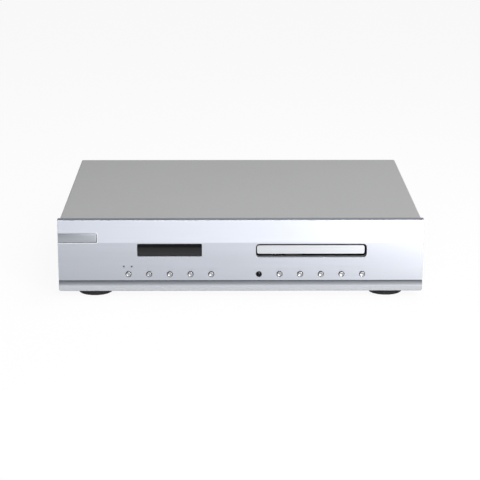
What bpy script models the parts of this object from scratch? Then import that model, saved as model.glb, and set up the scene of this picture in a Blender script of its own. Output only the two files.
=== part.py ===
"""A disc player with a motorised tray, as separate pieces in one frame.

Metres, +Z up. Seen from the front, +X is to the right and +Y goes away from the viewer.
The origin is on the surface that the feet stand on, in the middle of the player's outline.
Heights and depths below are counted from the lower edge and the face of the front panel,
and the loader's own places from the middle of the disc.
"""

from math import acos, cos, pi, radians, sin, tan

import bmesh
import bpy
from mathutils import Matrix, Vector

# Clearances and overruns
SEAT_GAP = 0.0003
OVERRUN = 0.002
BITE = 0.0004
WELD = 0.000002

# Facets of round shapes
ROUND = 18
SMALL_ROUND = 10
TINY_ROUND = 8
HEX_SIDES = 6
CORNER_STEPS = 4
SHARP_DEGREES = 35

# Front panel
PANEL_WIDTH = 0.440
PANEL_HEIGHT = 0.089
PANEL_THICKNESS = 0.009
PANEL_CORNER = 0.0024
PANEL_TOP_CORNER = 0.0008
FACE_BREAK_HEIGHT = 0.0605
FACE_LEAN = 0.0012
GROOVE_HEIGHT = 0.0132
SHOULDER_DEPTH = 0.0032
LIP_HEIGHT = 0.0059
SHOULDER_STEPS = 6
STUD_RADIUS = 0.0025
STUD_LENGTH = 0.0082
STUD_Z = 0.030

# Tray opening in the panel
SLOT_WIDTH = 0.1338
SLOT_HEIGHT = 0.0169
SLOT_X = 0.0852
SLOT_Z = 0.05035
SLOT_CORNER = 0.0044

# Display
WINDOW_WIDTH = 0.078
WINDOW_HEIGHT = 0.0161
WINDOW_X = -0.0857
WINDOW_Z = 0.05115
WINDOW_CORNER = 0.0015
WINDOW_RECESS = 0.0008
WINDOW_FLANGE = 0.003
WINDOW_FLANGE_THICKNESS = 0.0014
TUBE_MARGIN = 0.004
TUBE_EDGE = 0.0008

# Buttons, receiver and indicators
BUTTONS_IN_GROUP = 5
BUTTON_Z = 0.021
BUTTON_PITCH = 0.025
FIRST_BUTTON_X = -0.1356
RECEIVER_X = 0.022
BUTTON_HOLE_RADIUS = 0.0037
BUTTON_PROUD = 0.0015
DOME_HEIGHT = 0.0009
DOME_SHARES = (0.55, 1.0)
DOME_EDGE = 0.0003
BUTTON_FLANGE = 0.0012
BUTTON_FLANGE_THICKNESS = 0.001
BUTTON_STEM_RADIUS = 0.0016
BUTTON_TRAVEL = 0.0008
RECEIVER_PROUD = 0.0009
INDICATOR_HOLE_RADIUS = 0.0011
INDICATOR_SPACING = 0.0094
INDICATOR_X = -0.1364
INDICATOR_Z = 0.0306
INDICATOR_FLANGE = 0.0008
PLUNGER_LENGTH = 0.001
PLUNGER_RADIUS = 0.0016
SWITCH_SIZE = 0.006
SWITCH_DEPTH = 0.0036

# Badge plate
BADGE_LENGTH = 0.0472
BADGE_HEIGHT = 0.0116
BADGE_THICKNESS = 0.0008
BADGE_PROUD = 0.0003
BADGE_CORNER = 0.0012

# Casing
COVER_INSET = 0.00235
COVER_SHEET = 0.001
COVER_BEND = 0.0016
COVER_LIFT = 0.001
CASE_DEPTH = 0.340
BASE_SHEET = 0.0012
BASE_FLANGE = 0.0108
REAR_SHEET = 0.0012
REAR_INSET = 0.0008
VENT_WIDTH = 0.003
VENT_LENGTH = 0.034
VENT_PITCH = 0.008
VENT_ROWS = 7
VENT_FRONT = 0.002
POST_RADIUS = 0.004
BOARD_LIFT = 0.008

# Feet, from the cover's sides and the front and rear of the case
FOOT_RADIUS = 0.021
FOOT_HEIGHT = 0.010
FOOT_TAPER = 0.001
FOOT_RING = 0.0045
FOOT_RING_DEPTH = 0.0016
FOOT_INSET = 0.03965
FRONT_FOOT_Y = 0.036
REAR_FOOT_INSET = 0.040

# Control board behind the panel
BOARD_SHEET = 0.0016
CONTROL_LEFT_X = -0.152
CONTROL_RIGHT_X = 0.158
CONTROL_BOTTOM = 0.0135
CONTROL_TOP = 0.034
CONTROL_TOWER_TOP = 0.066

# Disc tray, from the middle of the disc
TRAY_X = 0.0845
DISC_Y = 0.076
TRAY_WIDTH = 0.1284
TRAY_FRONT_WIDTH = 0.1296
TRAY_FRONT_HEIGHT = 0.0103
TRAY_FRONT_THICKNESS = 0.003
TRAY_FRONT_CORNER = 0.0024
TRAY_FRONT_LIFT = 0.0048
TRAY_WALL_THICKNESS = 0.004
TRAY_CHAMFER = 0.0013
TRAY_REAR = 0.100
TRAY_TRAVEL = 0.138
TRAY_FLOOR = 0.0014
LEDGE_STEP = 0.001
WELL_DEPTH = 0.0048
WELL_RADIUS = 0.0606
SMALL_WELL_RADIUS = 0.0406
HUB_SLOT_RADIUS = 0.0185
REAR_POCKET_WIDTH = 0.030
REAR_POCKET_LENGTH = 0.024
CORNER_POCKET_WIDTH = 0.022
CORNER_POCKET_LENGTH = 0.008
CORNER_POCKET_INSET = 0.007
CORNER_POCKET_ROOF = 0.002
RACK_CLEARANCE = 0.0005
RACK_HEIGHT = 0.003
RACK_BACK = 0.0025
RACK_X = -0.0545
RACK_FRONT = -0.044

# Tray drive
DRIVE_MODULE = 0.00125
TRAY_GEAR_TEETH = 20
PULLEY_GEAR_TEETH = 12
TRAY_GEAR_Y = -0.041
TRAY_GEAR_HEIGHT = 0.0052
GEAR_HEADROOM = 0.0005
DRIVE_PIN_RADIUS = 0.002
DRIVE_BOSS_RADIUS = 0.004
PULLEY_RADIUS = 0.013
PULLEY_GROOVE = 0.0011
PULLEY_HEIGHT = 0.003
PULLEY_LIP = 0.0005
MOTOR_PULLEY_RADIUS = 0.004
MOTOR_PULLEY_X = 0.020
BELT_THICKNESS = 0.001
LOADER_MOTOR_RADIUS = 0.0122
LOADER_MOTOR_HEIGHT = 0.0123
MOTOR_SHAFT_RADIUS = 0.001
MOTOR_SHAFT_LENGTH = 0.006
MOTOR_EDGE = 0.0006

# Loader frame
FRAME_WALL = 0.003
FRAME_FRONT = -0.054
FRAME_REAR = 0.110
FRAME_HEIGHT = 0.039
FRAME_LEDGE = 0.0048
FRAME_LEDGE_THICKNESS = 0.0028
TAB_REACH = 0.0036
TAB_LENGTH = 0.014
TAB_THICKNESS = 0.0016
TAB_FRONT_Y = -0.050
TAB_REAR_Y = 0.074
DECK_DROP = 0.0094
DECK_THICKNESS = 0.002
DECK_REAR = -0.028
BEAM_FRONT = -0.0285
BEAM_WIDTH = 0.0065
BEAM_HEIGHT = 0.0045
BEAM_LIP_HEIGHT = 0.0022
BEAM_LIP_REACH = 0.046
REAR_BEAM_Y = 0.087
REAR_BEAM_WIDTH = 0.006
REAR_BEAM_HEIGHT = 0.010
EAR_REACH = 0.0115
EAR_WIDTH = 0.012
EAR_THICKNESS = 0.003
EAR_FRONT_Y = -0.040
EAR_REAR_Y = 0.090
WALL_WINDOWS = 3
WALL_WINDOW_FRONT = -0.016
WALL_WINDOW_LENGTH = 0.026
WALL_WINDOW_PITCH = 0.033
WALL_WINDOW_LIFT = 0.0055
WALL_WINDOW_HEIGHT = 0.011
WALL_RIB = 0.0016
WALL_RIB_WIDTH = 0.003

# Clamp over the disc
BRIDGE_HEADROOM = 0.0049
BRIDGE_SHEET = 0.0015
BRIDGE_LIP = 0.0012
BRIDGE_WIDTH = 0.032
BRIDGE_HOLE_RADIUS = 0.012
PUCK_FLANGE = 0.003
PUCK_FLANGE_THICKNESS = 0.0016
PUCK_DROP = 0.0016
PUCK_RECESS_RADIUS = 0.0082
PUCK_RECESS_DEPTH = 0.0034

# Traverse with the spindle and the pickup
TRAVERSE_HALF_WIDTH = 0.048
TRAVERSE_FRONT = -0.023
TRAVERSE_REAR = 0.083
TRAVERSE_THICKNESS = 0.0044
TRAVERSE_DROP = 0.0084
TRAVERSE_CORNER = 0.004
PIVOT_Y = 0.081
PIVOT_RADIUS = 0.002
PIVOT_OUT = 0.0037
TILT_DEGREES = 4.0
LUG_WIDTH = 0.0034
LUG_HEIGHT = 0.010
LUG_REACH = 0.008
CAM_PIN_RADIUS = 0.0015
CAM_PIN_X = 0.022
CAM_PLAY = 0.0003
SLIDER_FRONT = -0.0265
SLIDER_THICKNESS = 0.002
SLIDER_HALF_WIDTH = 0.038
SLIDER_HEIGHT = 0.0165
SLIDER_TRAVEL = 0.010
BED_WINDOW_HALF = 0.0265
BED_WINDOW_FRONT = 0.0138
BED_WINDOW_REAR = 0.073
BED_BLOCK_LENGTH = 0.0035
ROD_X = 0.022
ROD_RADIUS = 0.0015
ROD_LIFT = 0.0015
ROD_BLOCK_WIDTH = 0.005
ROD_BLOCK_HEIGHT = 0.005

# Spindle motor and turntable
DISC_LIFT = 0.0015
SPINDLE_RADIUS = 0.0115
SPINDLE_BELOW = 0.007
SPINDLE_RIM = 0.002
SPINDLE_RIM_THICKNESS = 0.0012
PLATTER_RADIUS = 0.0155
PLATTER_THICKNESS = 0.0028
HUB_CONE_RADIUS = 0.0074
HUB_CONE_HEIGHT = 0.0025
HUB_TIP_RADIUS = 0.0055
HUB_NECK_RADIUS = 0.004
HUB_SHAFT_RADIUS = 0.001
HUB_SHAFT_LENGTH = 0.005

# Pickup sled
LENS_REST = 0.026
SLED_TRAVEL = 0.033
SLED_LENGTH = 0.0235
SLED_HALF_WIDTH = 0.019
SLED_TOP = 0.0055
SLED_BOTTOM = 0.0015
SLED_BOSS_WIDTH = 0.006
SLED_BOSS_DROP = 0.001
ACTUATOR_WIDTH = 0.018
ACTUATOR_HEIGHT = 0.004
LENS_RADIUS = 0.003
LENS_HEIGHT = 0.0014
LENS_BASE = 0.0007
LENS_CROWN_SHARE = 0.6
SLED_RACK_X = 0.031
SLED_RACK_BACK = 0.002
SLED_RACK_LIFT = 0.0016
SLED_RACK_HEIGHT = 0.0024
SLED_RACK_LENGTH = 0.0395

# Sled drive
SLED_MODULE = 0.0008
SLED_PINION_TEETH = 12
SLED_WHEEL_TEETH = 24
SLED_MOTOR_TEETH = 12
SLED_GEAR_Y = 0.032
SLED_PINION_LIFT = 0.0013
SLED_PINION_HEIGHT = 0.0032
SLED_WHEEL_HEIGHT = 0.0022
SLED_PIN_RADIUS = 0.0012
SLED_PIN_BOSS = 0.0012
SLED_MOTOR_RADIUS = 0.009
SLED_MOTOR_HEIGHT = 0.0108

# Transformer
CORE_RADIUS = 0.048
CORE_HOLE_RADIUS = 0.013
CORE_HEIGHT = 0.036
CORE_ROUND = 0.008
CORE_INSET = 0.09265
CORE_Y = 0.138
CLAMP_RADIUS = 0.027
CLAMP_DISH = 0.002
CLAMP_SHEET = 0.0016
CLAMP_BOLT_RADIUS = 0.003
CLAMP_NUT_RADIUS = 0.005
CLAMP_NUT_HEIGHT = 0.004

# Boards on the base, from the cover's sides, the loader and the rear of the case
MAIN_LEFT_X = -0.035
MAIN_INSET = 0.01265
POWER_INSET = 0.06765
BOARDS_APART = 0.010
BOARDS_BEHIND_LOADER = 0.022
BOARD_REAR_INSET = 0.006
BOARD_MARGIN = 0.006
CAPACITOR_RADIUS = 0.009
CAPACITOR_HEIGHT = 0.030
CAPACITOR_PITCH = 0.022
CAN_ROWS = 2
CAN_MARGIN = 0.018
SMALL_CAN_COLUMNS = 4
SMALL_CAPACITOR_RADIUS = 0.004
SMALL_CAPACITOR_HEIGHT = 0.012
SMALL_CAPACITOR_PITCH = 0.018
CHIP_LENGTH = 0.016
CHIP_WIDTH = 0.010
CHIP_HEIGHT = 0.003
SINK_MARGIN = 0.0225
SINK_HEIGHT = 0.035
SINK_BACK = 0.003
SINK_FIN = 0.0014
SINK_FIN_DEPTH = 0.012
SINK_FINS = 9
SINK_SETBACK = 0.002
RIBBON_WIDTH = 0.025
RIBBON_THICKNESS = 0.001
RIBBON_X = -0.0155
RIBBON_LIFT = 0.003
RIBBON_BEND = 0.018
RIBBON_STUB = 0.002
RIBBON_STEPS = 5
HEADER_HEIGHT = 0.006
HEADER_DEPTH = 0.005

# Rear sockets
SOCKET_Z = 0.030
SOCKET_REACH = 0.0098
BARREL_RADIUS = 0.00415
BARREL_THREAD_RADIUS = 0.0046
BARREL_THREAD_LENGTH = 0.0032
BARREL_BORE_RADIUS = 0.0017
BARREL_BORE_DEPTH = 0.009
SOCKET_BLOCK_WIDTH = 0.013
SOCKET_BLOCK_DEPTH = 0.014
SOCKET_BLOCK_TOP = 0.0365
OPTICAL_INSET = 0.04965
OPTICAL_SPACING = 0.028
DIGITAL_SPACING = 0.045
OUTPUT_SPACING = 0.040
OPTICAL_SIZE = 0.0096
OPTICAL_PROUD = 0.002
OPTICAL_RECESS = 0.001
OPTICAL_RECESS_SIZE = 0.006
INLET_INSET = 0.03565
INLET_Z = 0.040
INLET_WIDTH = 0.027
INLET_HEIGHT = 0.0196
INLET_FLANGE_WIDTH = 0.031
INLET_FLANGE_HEIGHT = 0.0236
INLET_FLANGE_THICKNESS = 0.0025
INLET_DEPTH = 0.0205
INLET_CORNER = 0.0035
CAVITY_WIDTH = 0.024
CAVITY_HEIGHT = 0.0162
CAVITY_DEPTH = 0.017
PIN_THICKNESS = 0.002
PIN_HEIGHT = 0.004
PIN_SPACING = 0.007
PIN_OFFSET = 0.002
PIN_SETBACK = 0.0025
SWITCH_SPACING = 0.034
ROCKER_FLANGE_WIDTH = 0.0162
ROCKER_FLANGE_HEIGHT = 0.0228
ROCKER_FLANGE_THICKNESS = 0.002
ROCKER_BODY_WIDTH = 0.0132
ROCKER_BODY_HEIGHT = 0.0192
ROCKER_BODY_DEPTH = 0.016
ROCKER_CAVITY_WIDTH = 0.0106
ROCKER_CAVITY_HEIGHT = 0.0166
ROCKER_CAVITY_DEPTH = 0.0078
ROCKER_PIVOT_SETBACK = 0.0004
ROCKER_HALF_HEIGHT = 0.0074
ROCKER_PROUD = 0.0048
ROCKER_DIP = 0.0014
ROCKER_SIDE = 0.0008
ROCKER_BACK = 0.003
ROCKER_TILT_DEGREES = 7.0

# Finishes: colour, roughness, metallic
BRUSHED = ((0.80, 0.81, 0.83), 0.30, 1.0)
POLISHED = ((0.86, 0.86, 0.87), 0.10, 1.0)
PAINTED_GREY = ((0.42, 0.42, 0.42), 0.55, 0.3)
ZINC = ((0.62, 0.63, 0.62), 0.40, 1.0)
BLACK_PLASTIC = ((0.02, 0.02, 0.02), 0.50, 0.0)
GREY_PLASTIC = ((0.16, 0.16, 0.17), 0.50, 0.0)
WHITE_PLASTIC = ((0.80, 0.79, 0.75), 0.45, 0.0)
DARK_GLASS = ((0.01, 0.01, 0.012), 0.06, 0.0)
CLEAR_LENS = ((0.55, 0.62, 0.70), 0.04, 0.0)
BOARD_GREEN = ((0.03, 0.16, 0.06), 0.45, 0.0)
STEEL = ((0.60, 0.60, 0.61), 0.30, 1.0)
RUBBER = ((0.015, 0.015, 0.015), 0.80, 0.0)
GOLD = ((0.90, 0.68, 0.28), 0.20, 1.0)
TAPE = ((0.55, 0.42, 0.12), 0.45, 0.0)
RIBBON_GREY = ((0.50, 0.52, 0.55), 0.55, 0.0)
AMBER = ((0.75, 0.25, 0.05), 0.25, 0.0)

# Places that follow from the sizes above
COVER_TOP = PANEL_HEIGHT - SEAT_GAP
COVER_SIDE = PANEL_WIDTH / 2 - COVER_INSET
CASE_FRONT = PANEL_THICKNESS + SEAT_GAP
REAR_FACE = CASE_DEPTH - REAR_INSET
INNER_HALF_WIDTH = COVER_SIDE - COVER_SHEET - SEAT_GAP
BASE_TOP = COVER_LIFT + BASE_SHEET
FOOT_X = COVER_SIDE - FOOT_INSET
REAR_FOOT_Y = CASE_DEPTH - REAR_FOOT_INSET
CORE_X = CORE_INSET - COVER_SIDE
BOARD_BOTTOM = BASE_TOP + BOARD_LIFT + SEAT_GAP
BOARD_TOP = BOARD_BOTTOM + BOARD_SHEET
BOARD_FRONT_Y = DISC_Y + FRAME_REAR + BOARDS_BEHIND_LOADER
BOARD_REAR_Y = CASE_DEPTH - BOARD_REAR_INSET
MAIN_RIGHT_X = COVER_SIDE - MAIN_INSET
POWER_LEFT_X = POWER_INSET - COVER_SIDE
POWER_RIGHT_X = MAIN_LEFT_X - BOARDS_APART
POWER_X = (POWER_LEFT_X + POWER_RIGHT_X) / 2
SINK_Y = BOARD_REAR_Y - SINK_SETBACK - SINK_BACK - SINK_FIN_DEPTH
OPTICAL_X = COVER_SIDE - OPTICAL_INSET
DIGITAL_X = OPTICAL_X - OPTICAL_SPACING
OUTPUT_LEFT_X = DIGITAL_X - DIGITAL_SPACING
OUTPUT_RIGHT_X = OUTPUT_LEFT_X - OUTPUT_SPACING
OUTPUTS_X = (OUTPUT_LEFT_X + OUTPUT_RIGHT_X) / 2
INLET_X = INLET_INSET - COVER_SIDE
SWITCH_X = INLET_X + SWITCH_SPACING
CONTROL_FRONT = PANEL_THICKNESS + STUD_LENGTH + SEAT_GAP
CONTROL_BACK = CONTROL_FRONT + BOARD_SHEET
SLOT_BOTTOM = SLOT_Z - SLOT_HEIGHT / 2
RACK_BOTTOM = SLOT_BOTTOM + RACK_CLEARANCE
TRAY_BOTTOM = RACK_BOTTOM + RACK_HEIGHT
WELL_FLOOR = TRAY_BOTTOM + TRAY_FLOOR
WELL_LEDGE = WELL_FLOOR + LEDGE_STEP
TRAY_TOP = WELL_LEDGE + WELL_DEPTH
DECK_TOP = TRAY_BOTTOM - DECK_DROP
GEAR_TOP = TRAY_BOTTOM - GEAR_HEADROOM
BED_TOP = TRAY_BOTTOM - TRAVERSE_DROP
BED_BOTTOM = BED_TOP - TRAVERSE_THICKNESS
PIVOT_Z = (BED_TOP + BED_BOTTOM) / 2
ROD_Z = BED_TOP + ROD_LIFT
PLATTER_TOP = WELL_LEDGE + DISC_LIFT
BRIDGE_BOTTOM = TRAY_TOP + BRIDGE_HEADROOM
FRAME_TOP = BRIDGE_BOTTOM - BRIDGE_LIP - SEAT_GAP
FRAME_BOTTOM = FRAME_TOP - FRAME_HEIGHT
FRAME_INNER = TRAY_WIDTH / 2 + SEAT_GAP + CAM_PLAY
FRAME_OUTER = FRAME_INNER + FRAME_WALL
TRAY_GEAR_RADIUS = DRIVE_MODULE * TRAY_GEAR_TEETH / 2
PULLEY_GEAR_RADIUS = DRIVE_MODULE * PULLEY_GEAR_TEETH / 2
TRAY_GEAR_X = RACK_X + TRAY_GEAR_RADIUS
PULLEY_GEAR_X = TRAY_GEAR_X + TRAY_GEAR_RADIUS + PULLEY_GEAR_RADIUS
SLED_PINION_RADIUS = SLED_MODULE * SLED_PINION_TEETH / 2
SLED_WHEEL_RADIUS = SLED_MODULE * SLED_WHEEL_TEETH / 2
SLED_MOTOR_GEAR_RADIUS = SLED_MODULE * SLED_MOTOR_TEETH / 2
SLED_GEAR_X = SLED_RACK_X + SLED_PINION_RADIUS
SLED_MOTOR_Y = SLED_GEAR_Y + SLED_WHEEL_RADIUS + SLED_MOTOR_GEAR_RADIUS
SLIDER_BOTTOM = FRAME_BOTTOM + BEAM_HEIGHT + SEAT_GAP
BUTTON_RADIUS = BUTTON_HOLE_RADIUS - SEAT_GAP

PRESSURE_ANGLE = radians(20)
ADDENDUM_SHARE = 0.8
DEDENDUM_SHARE = 1.05
BACKLASH_SHARE = 0.12


def face_depth(height):
    """How far behind the panel's foremost plane its leaning face lies at a height."""
    below = FACE_BREAK_HEIGHT - height
    return FACE_LEAN * max(below, 0) / (FACE_BREAK_HEIGHT - GROOVE_HEIGHT)


BUTTON_TIP = face_depth(BUTTON_Z) - BUTTON_PROUD
FRONTMOST = min(BUTTON_TIP, -BADGE_PROUD)
REARMOST = REAR_FACE + SOCKET_REACH
FACE_Y = -(FRONTMOST + REARMOST) / 2

# Orientation of outlines and rods: which axis they are extruded or turned about
OUTLINE_TURNS = {
    "X": Matrix(((0, 0, 1, 0), (1, 0, 0, 0), (0, 1, 0, 0), (0, 0, 0, 1))),
    "Y": Matrix(((1, 0, 0, 0), (0, 0, -1, 0), (0, 1, 0, 0), (0, 0, 0, 1))),
    "Z": Matrix.Identity(4),
}
ROD_TURNS = {
    "X": Matrix.Rotation(pi / 2, 4, "Y"),
    "Y": Matrix.Rotation(-pi / 2, 4, "X"),
    "-Y": Matrix.Rotation(pi / 2, 4, "X"),
    "Z": Matrix.Identity(4),
}


# Building blocks

def clear_scene():
    for old in list(bpy.data.objects):
        bpy.data.objects.remove(old, do_unlink=True)


def new_collection(name):
    collection = bpy.data.collections.new(name)
    bpy.context.scene.collection.children.link(collection)
    return collection


def finish_material(name, finish):
    colour, roughness, metallic = finish
    material = bpy.data.materials.new(name + "_finish")
    material.use_nodes = True
    shader = material.node_tree.nodes["Principled BSDF"]
    shader.inputs["Base Color"].default_value = (*colour, 1.0)
    shader.inputs["Roughness"].default_value = roughness
    shader.inputs["Metallic"].default_value = metallic
    return material


def empty(name, parent, location):
    holder = bpy.data.objects.new(name, None)
    PARTS.objects.link(holder)
    holder.parent = parent
    holder.location = location
    return holder


def mesh_of(shape, name):
    """Turn a bmesh into mesh data with its faces pointing out and round sides smooth."""
    bmesh.ops.remove_doubles(shape, verts=shape.verts, dist=WELD)
    bmesh.ops.recalc_face_normals(shape, faces=shape.faces)
    mesh = bpy.data.meshes.new(name)
    shape.to_mesh(mesh)
    shape.free()
    mesh.shade_smooth()
    mesh.set_sharp_from_angle(angle=radians(SHARP_DEGREES))
    return mesh


def place(name, mesh, finish, parent, location=(0, 0, 0), rotation=(0, 0, 0)):
    piece = bpy.data.objects.new(name, mesh)
    PARTS.objects.link(piece)
    piece.data.materials.append(finish_material(name, finish))
    piece.parent = parent
    piece.location = location
    piece.rotation_euler = rotation
    return piece


def edge_angle_group():
    """Nodes that shade a shape smooth except along its steep edges."""
    group = bpy.data.node_groups.new("shade_by_edge_angle", "GeometryNodeTree")
    group.interface.new_socket("Geometry", in_out="INPUT", socket_type="NodeSocketGeometry")
    group.interface.new_socket("Geometry", in_out="OUTPUT", socket_type="NodeSocketGeometry")
    source = group.nodes.new("NodeGroupInput")
    result = group.nodes.new("NodeGroupOutput")
    angle = group.nodes.new("GeometryNodeInputMeshEdgeAngle")
    shallow = group.nodes.new("FunctionNodeCompare")
    shallow.operation = "LESS_THAN"
    shallow.inputs[1].default_value = radians(SHARP_DEGREES)
    faces = group.nodes.new("GeometryNodeSetShadeSmooth")
    edges = group.nodes.new("GeometryNodeSetShadeSmooth")
    edges.domain = "EDGE"
    group.links.new(source.outputs["Geometry"], faces.inputs["Geometry"])
    group.links.new(faces.outputs["Geometry"], edges.inputs["Geometry"])
    group.links.new(angle.outputs["Unsigned Angle"], shallow.inputs[0])
    group.links.new(shallow.outputs["Result"], edges.inputs["Shade Smooth"])
    group.links.new(edges.outputs["Geometry"], result.inputs["Geometry"])
    return group


def shade_joined_pieces():
    """Give every piece that was cut or joined the shading of its final edges."""
    group = edge_angle_group()
    for piece in PARTS.objects:
        if piece.modifiers:
            piece.modifiers.new("shade", "NODES").node_group = group


def apply_tool(piece, mesh, operation):
    """Cut a mesh from a piece, join it on or keep what both share."""
    tool = bpy.data.objects.new(piece.name + "_tool", mesh)
    CUTTERS.objects.link(tool)
    tool.parent = piece.parent
    tool.location = piece.location
    tool.rotation_euler = piece.rotation_euler
    tool.display_type = "WIRE"
    tool.hide_render = True
    modifier = piece.modifiers.new(operation.lower(), "BOOLEAN")
    modifier.operation = operation
    modifier.solver = "EXACT"
    modifier.object = tool
    return tool


def cut(piece, mesh):
    return apply_tool(piece, mesh, "DIFFERENCE")


def join(piece, mesh):
    return apply_tool(piece, mesh, "UNION")


def trim(piece, mesh):
    return apply_tool(piece, mesh, "INTERSECT")


def baked_shape(source, turn):
    """Read an object's evaluated shape into a bmesh, turned, and remove the object."""
    depsgraph = bpy.context.evaluated_depsgraph_get()
    mesh = bpy.data.meshes.new_from_object(source.evaluated_get(depsgraph))
    shape = bmesh.new()
    shape.from_mesh(mesh)
    shape.transform(turn)
    bpy.data.objects.remove(source, do_unlink=True)
    bpy.data.meshes.remove(mesh)
    return shape


def extruded(name, outlines, low, high, axis):
    """Extrude flat outlines, the first outside and the others as holes, along an axis."""
    curve = bpy.data.curves.new(name, "CURVE")
    curve.dimensions = "2D"
    curve.fill_mode = "BOTH"
    curve.extrude = (high - low) / 2
    for outline in outlines:
        spline = curve.splines.new("POLY")
        spline.points.add(len(outline) - 1)
        for point, (across, up) in zip(spline.points, outline):
            point.co = (across, up, 0, 1)
        spline.use_cyclic_u = True
    source = bpy.data.objects.new(name, curve)
    bpy.context.scene.collection.objects.link(source)
    middle = Matrix.Translation((0, 0, -(low + high) / 2 if axis == "Y" else (low + high) / 2))
    return mesh_of(baked_shape(source, OUTLINE_TURNS[axis] @ middle), name)


def turned(name, profile, sides, axis="Z", closed=False):
    """Turn a profile of (radius, height) points, listed down its outer side."""
    shape = bmesh.new()
    points = [shape.verts.new((radius, 0, height)) for radius, height in profile]
    for first, second in zip(points, points[1:]):
        shape.edges.new((first, second))
    if closed:
        shape.edges.new((points[-1], points[0]))
    mesh = bpy.data.meshes.new(name)
    shape.to_mesh(mesh)
    shape.free()
    source = bpy.data.objects.new(name, mesh)
    bpy.context.scene.collection.objects.link(source)
    screw = source.modifiers.new("turn", "SCREW")
    screw.steps = sides
    screw.render_steps = sides
    screw.use_merge_vertices = True
    screw.merge_threshold = WELD
    return mesh_of(baked_shape(source, ROD_TURNS[axis]), name)


def add_box(shape, low, high):
    size = [far - near for near, far in zip(low, high)]
    middle = [(far + near) / 2 for near, far in zip(low, high)]
    matrix = Matrix.Translation(middle) @ Matrix.Diagonal((*size, 1))
    bmesh.ops.create_cube(shape, size=1, matrix=matrix)


def add_rod(shape, start, radius, length, axis="Z", sides=SMALL_ROUND):
    turn = ROD_TURNS[axis] @ Matrix.Translation((0, 0, length / 2))
    bmesh.ops.create_cone(
        shape, cap_ends=True, segments=sides, radius1=radius, radius2=radius, depth=length,
        matrix=Matrix.Translation(start) @ turn)


def boxes_mesh(name, boxes):
    shape = bmesh.new()
    for low, high in boxes:
        add_box(shape, low, high)
    return mesh_of(shape, name)


def rods_mesh(name, rods, axis="Z", sides=SMALL_ROUND):
    """Rods given as (start, radius, length) along one axis."""
    shape = bmesh.new()
    for start, radius, length in rods:
        add_rod(shape, start, radius, length, axis, sides)
    return mesh_of(shape, name)


def arc(middle_x, middle_y, radius, start, end, steps):
    """Points on an arc, with its angles in quarter turns."""
    points = []
    for step in range(steps + 1):
        angle = (start + (end - start) * step / steps) * pi / 2
        points.append((middle_x + radius * cos(angle), middle_y + radius * sin(angle)))
    return points


def circle(middle_x, middle_y, radius, sides=SMALL_ROUND):
    return arc(middle_x, middle_y, radius, 0, 4, sides)[:-1]


def rounded_rectangle(left, right, bottom, top, corner, steps=CORNER_STEPS):
    return (
        arc(right - corner, bottom + corner, corner, 3, 4, steps)
        + arc(right - corner, top - corner, corner, 0, 1, steps)
        + arc(left + corner, top - corner, corner, 1, 2, steps)
        + arc(left + corner, bottom + corner, corner, 2, 3, steps))


def rectangle(left, right, bottom, top):
    return [(left, bottom), (right, bottom), (right, top), (left, top)]


def centred_rectangle(middle_x, middle_y, width, height, corner=0):
    edges = (middle_x - width / 2, middle_x + width / 2,
             middle_y - height / 2, middle_y + height / 2)
    if corner:
        return rounded_rectangle(*edges, corner)
    return rectangle(*edges)


def stadium(start, end, radius, steps=CORNER_STEPS):
    """A slot outline with round ends about two points."""
    (start_x, start_y), (end_x, end_y) = start, end
    heading = Vector((end_x - start_x, end_y - start_y))
    quarter = heading.angle_signed(Vector((1, 0))) / (pi / 2)
    return (arc(end_x, end_y, radius, quarter - 1, quarter + 1, 2 * steps)
            + arc(start_x, start_y, radius, quarter + 1, quarter + 3, 2 * steps))


def involute(angle):
    return tan(angle) - angle


def gear_outline(teeth, module, turn=0, fine=False):
    """A spur gear with short involute teeth, the first one centred at the turn angle."""
    pitch_radius = module * teeth / 2
    base_radius = pitch_radius * cos(PRESSURE_ANGLE)
    tip_radius = pitch_radius + ADDENDUM_SHARE * module
    root_radius = pitch_radius - DEDENDUM_SHARE * module
    half_tooth = pi / (2 * teeth) - BACKLASH_SHARE * module / pitch_radius
    flank = []
    radii = (root_radius, pitch_radius, tip_radius) if fine else (root_radius, tip_radius)
    for radius in radii:
        reach = max(radius, base_radius)
        swing = involute(PRESSURE_ANGLE) - involute(acos(base_radius / reach))
        flank.append((radius, half_tooth + swing))
    points = []
    for tooth in range(teeth):
        middle = turn + tooth * 2 * pi / teeth
        for radius, half in flank:
            points.append((radius * cos(middle - half), radius * sin(middle - half)))
        for radius, half in reversed(flank):
            points.append((radius * cos(middle + half), radius * sin(middle + half)))
    return points


def rack_outline(front, rear, gap_y, pitch_x, back_x, module):
    """A straight rack with its teeth towards +X and a gap between teeth at gap_y."""
    pitch = pi * module
    tip = ADDENDUM_SHARE * module
    root = DEDENDUM_SHARE * module
    slope = tan(PRESSURE_ANGLE)
    half = pitch / 4 - BACKLASH_SHARE * module
    points = [(back_x, rear), (back_x, front), (pitch_x - root, front)]
    tooth = int((front - gap_y) / pitch) - 1
    while gap_y + (tooth + 0.5) * pitch + pitch / 2 < rear:
        middle = gap_y + (tooth + 0.5) * pitch
        if middle - pitch / 2 > front:
            points.append((pitch_x - root, middle - half - root * slope))
            points.append((pitch_x + tip, middle - half + tip * slope))
            points.append((pitch_x + tip, middle + half - tip * slope))
            points.append((pitch_x - root, middle + half + root * slope))
        tooth += 1
    points.append((pitch_x - root, rear))
    return points


# Front panel and what it carries

def button_places():
    left = [FIRST_BUTTON_X + BUTTON_PITCH * step for step in range(BUTTONS_IN_GROUP)]
    right = [RECEIVER_X + BUTTON_PITCH * (step + 1) for step in range(BUTTONS_IN_GROUP)]
    return left + right


def indicator_places():
    return [INDICATOR_X - INDICATOR_SPACING / 2, INDICATOR_X + INDICATOR_SPACING / 2]


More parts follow.
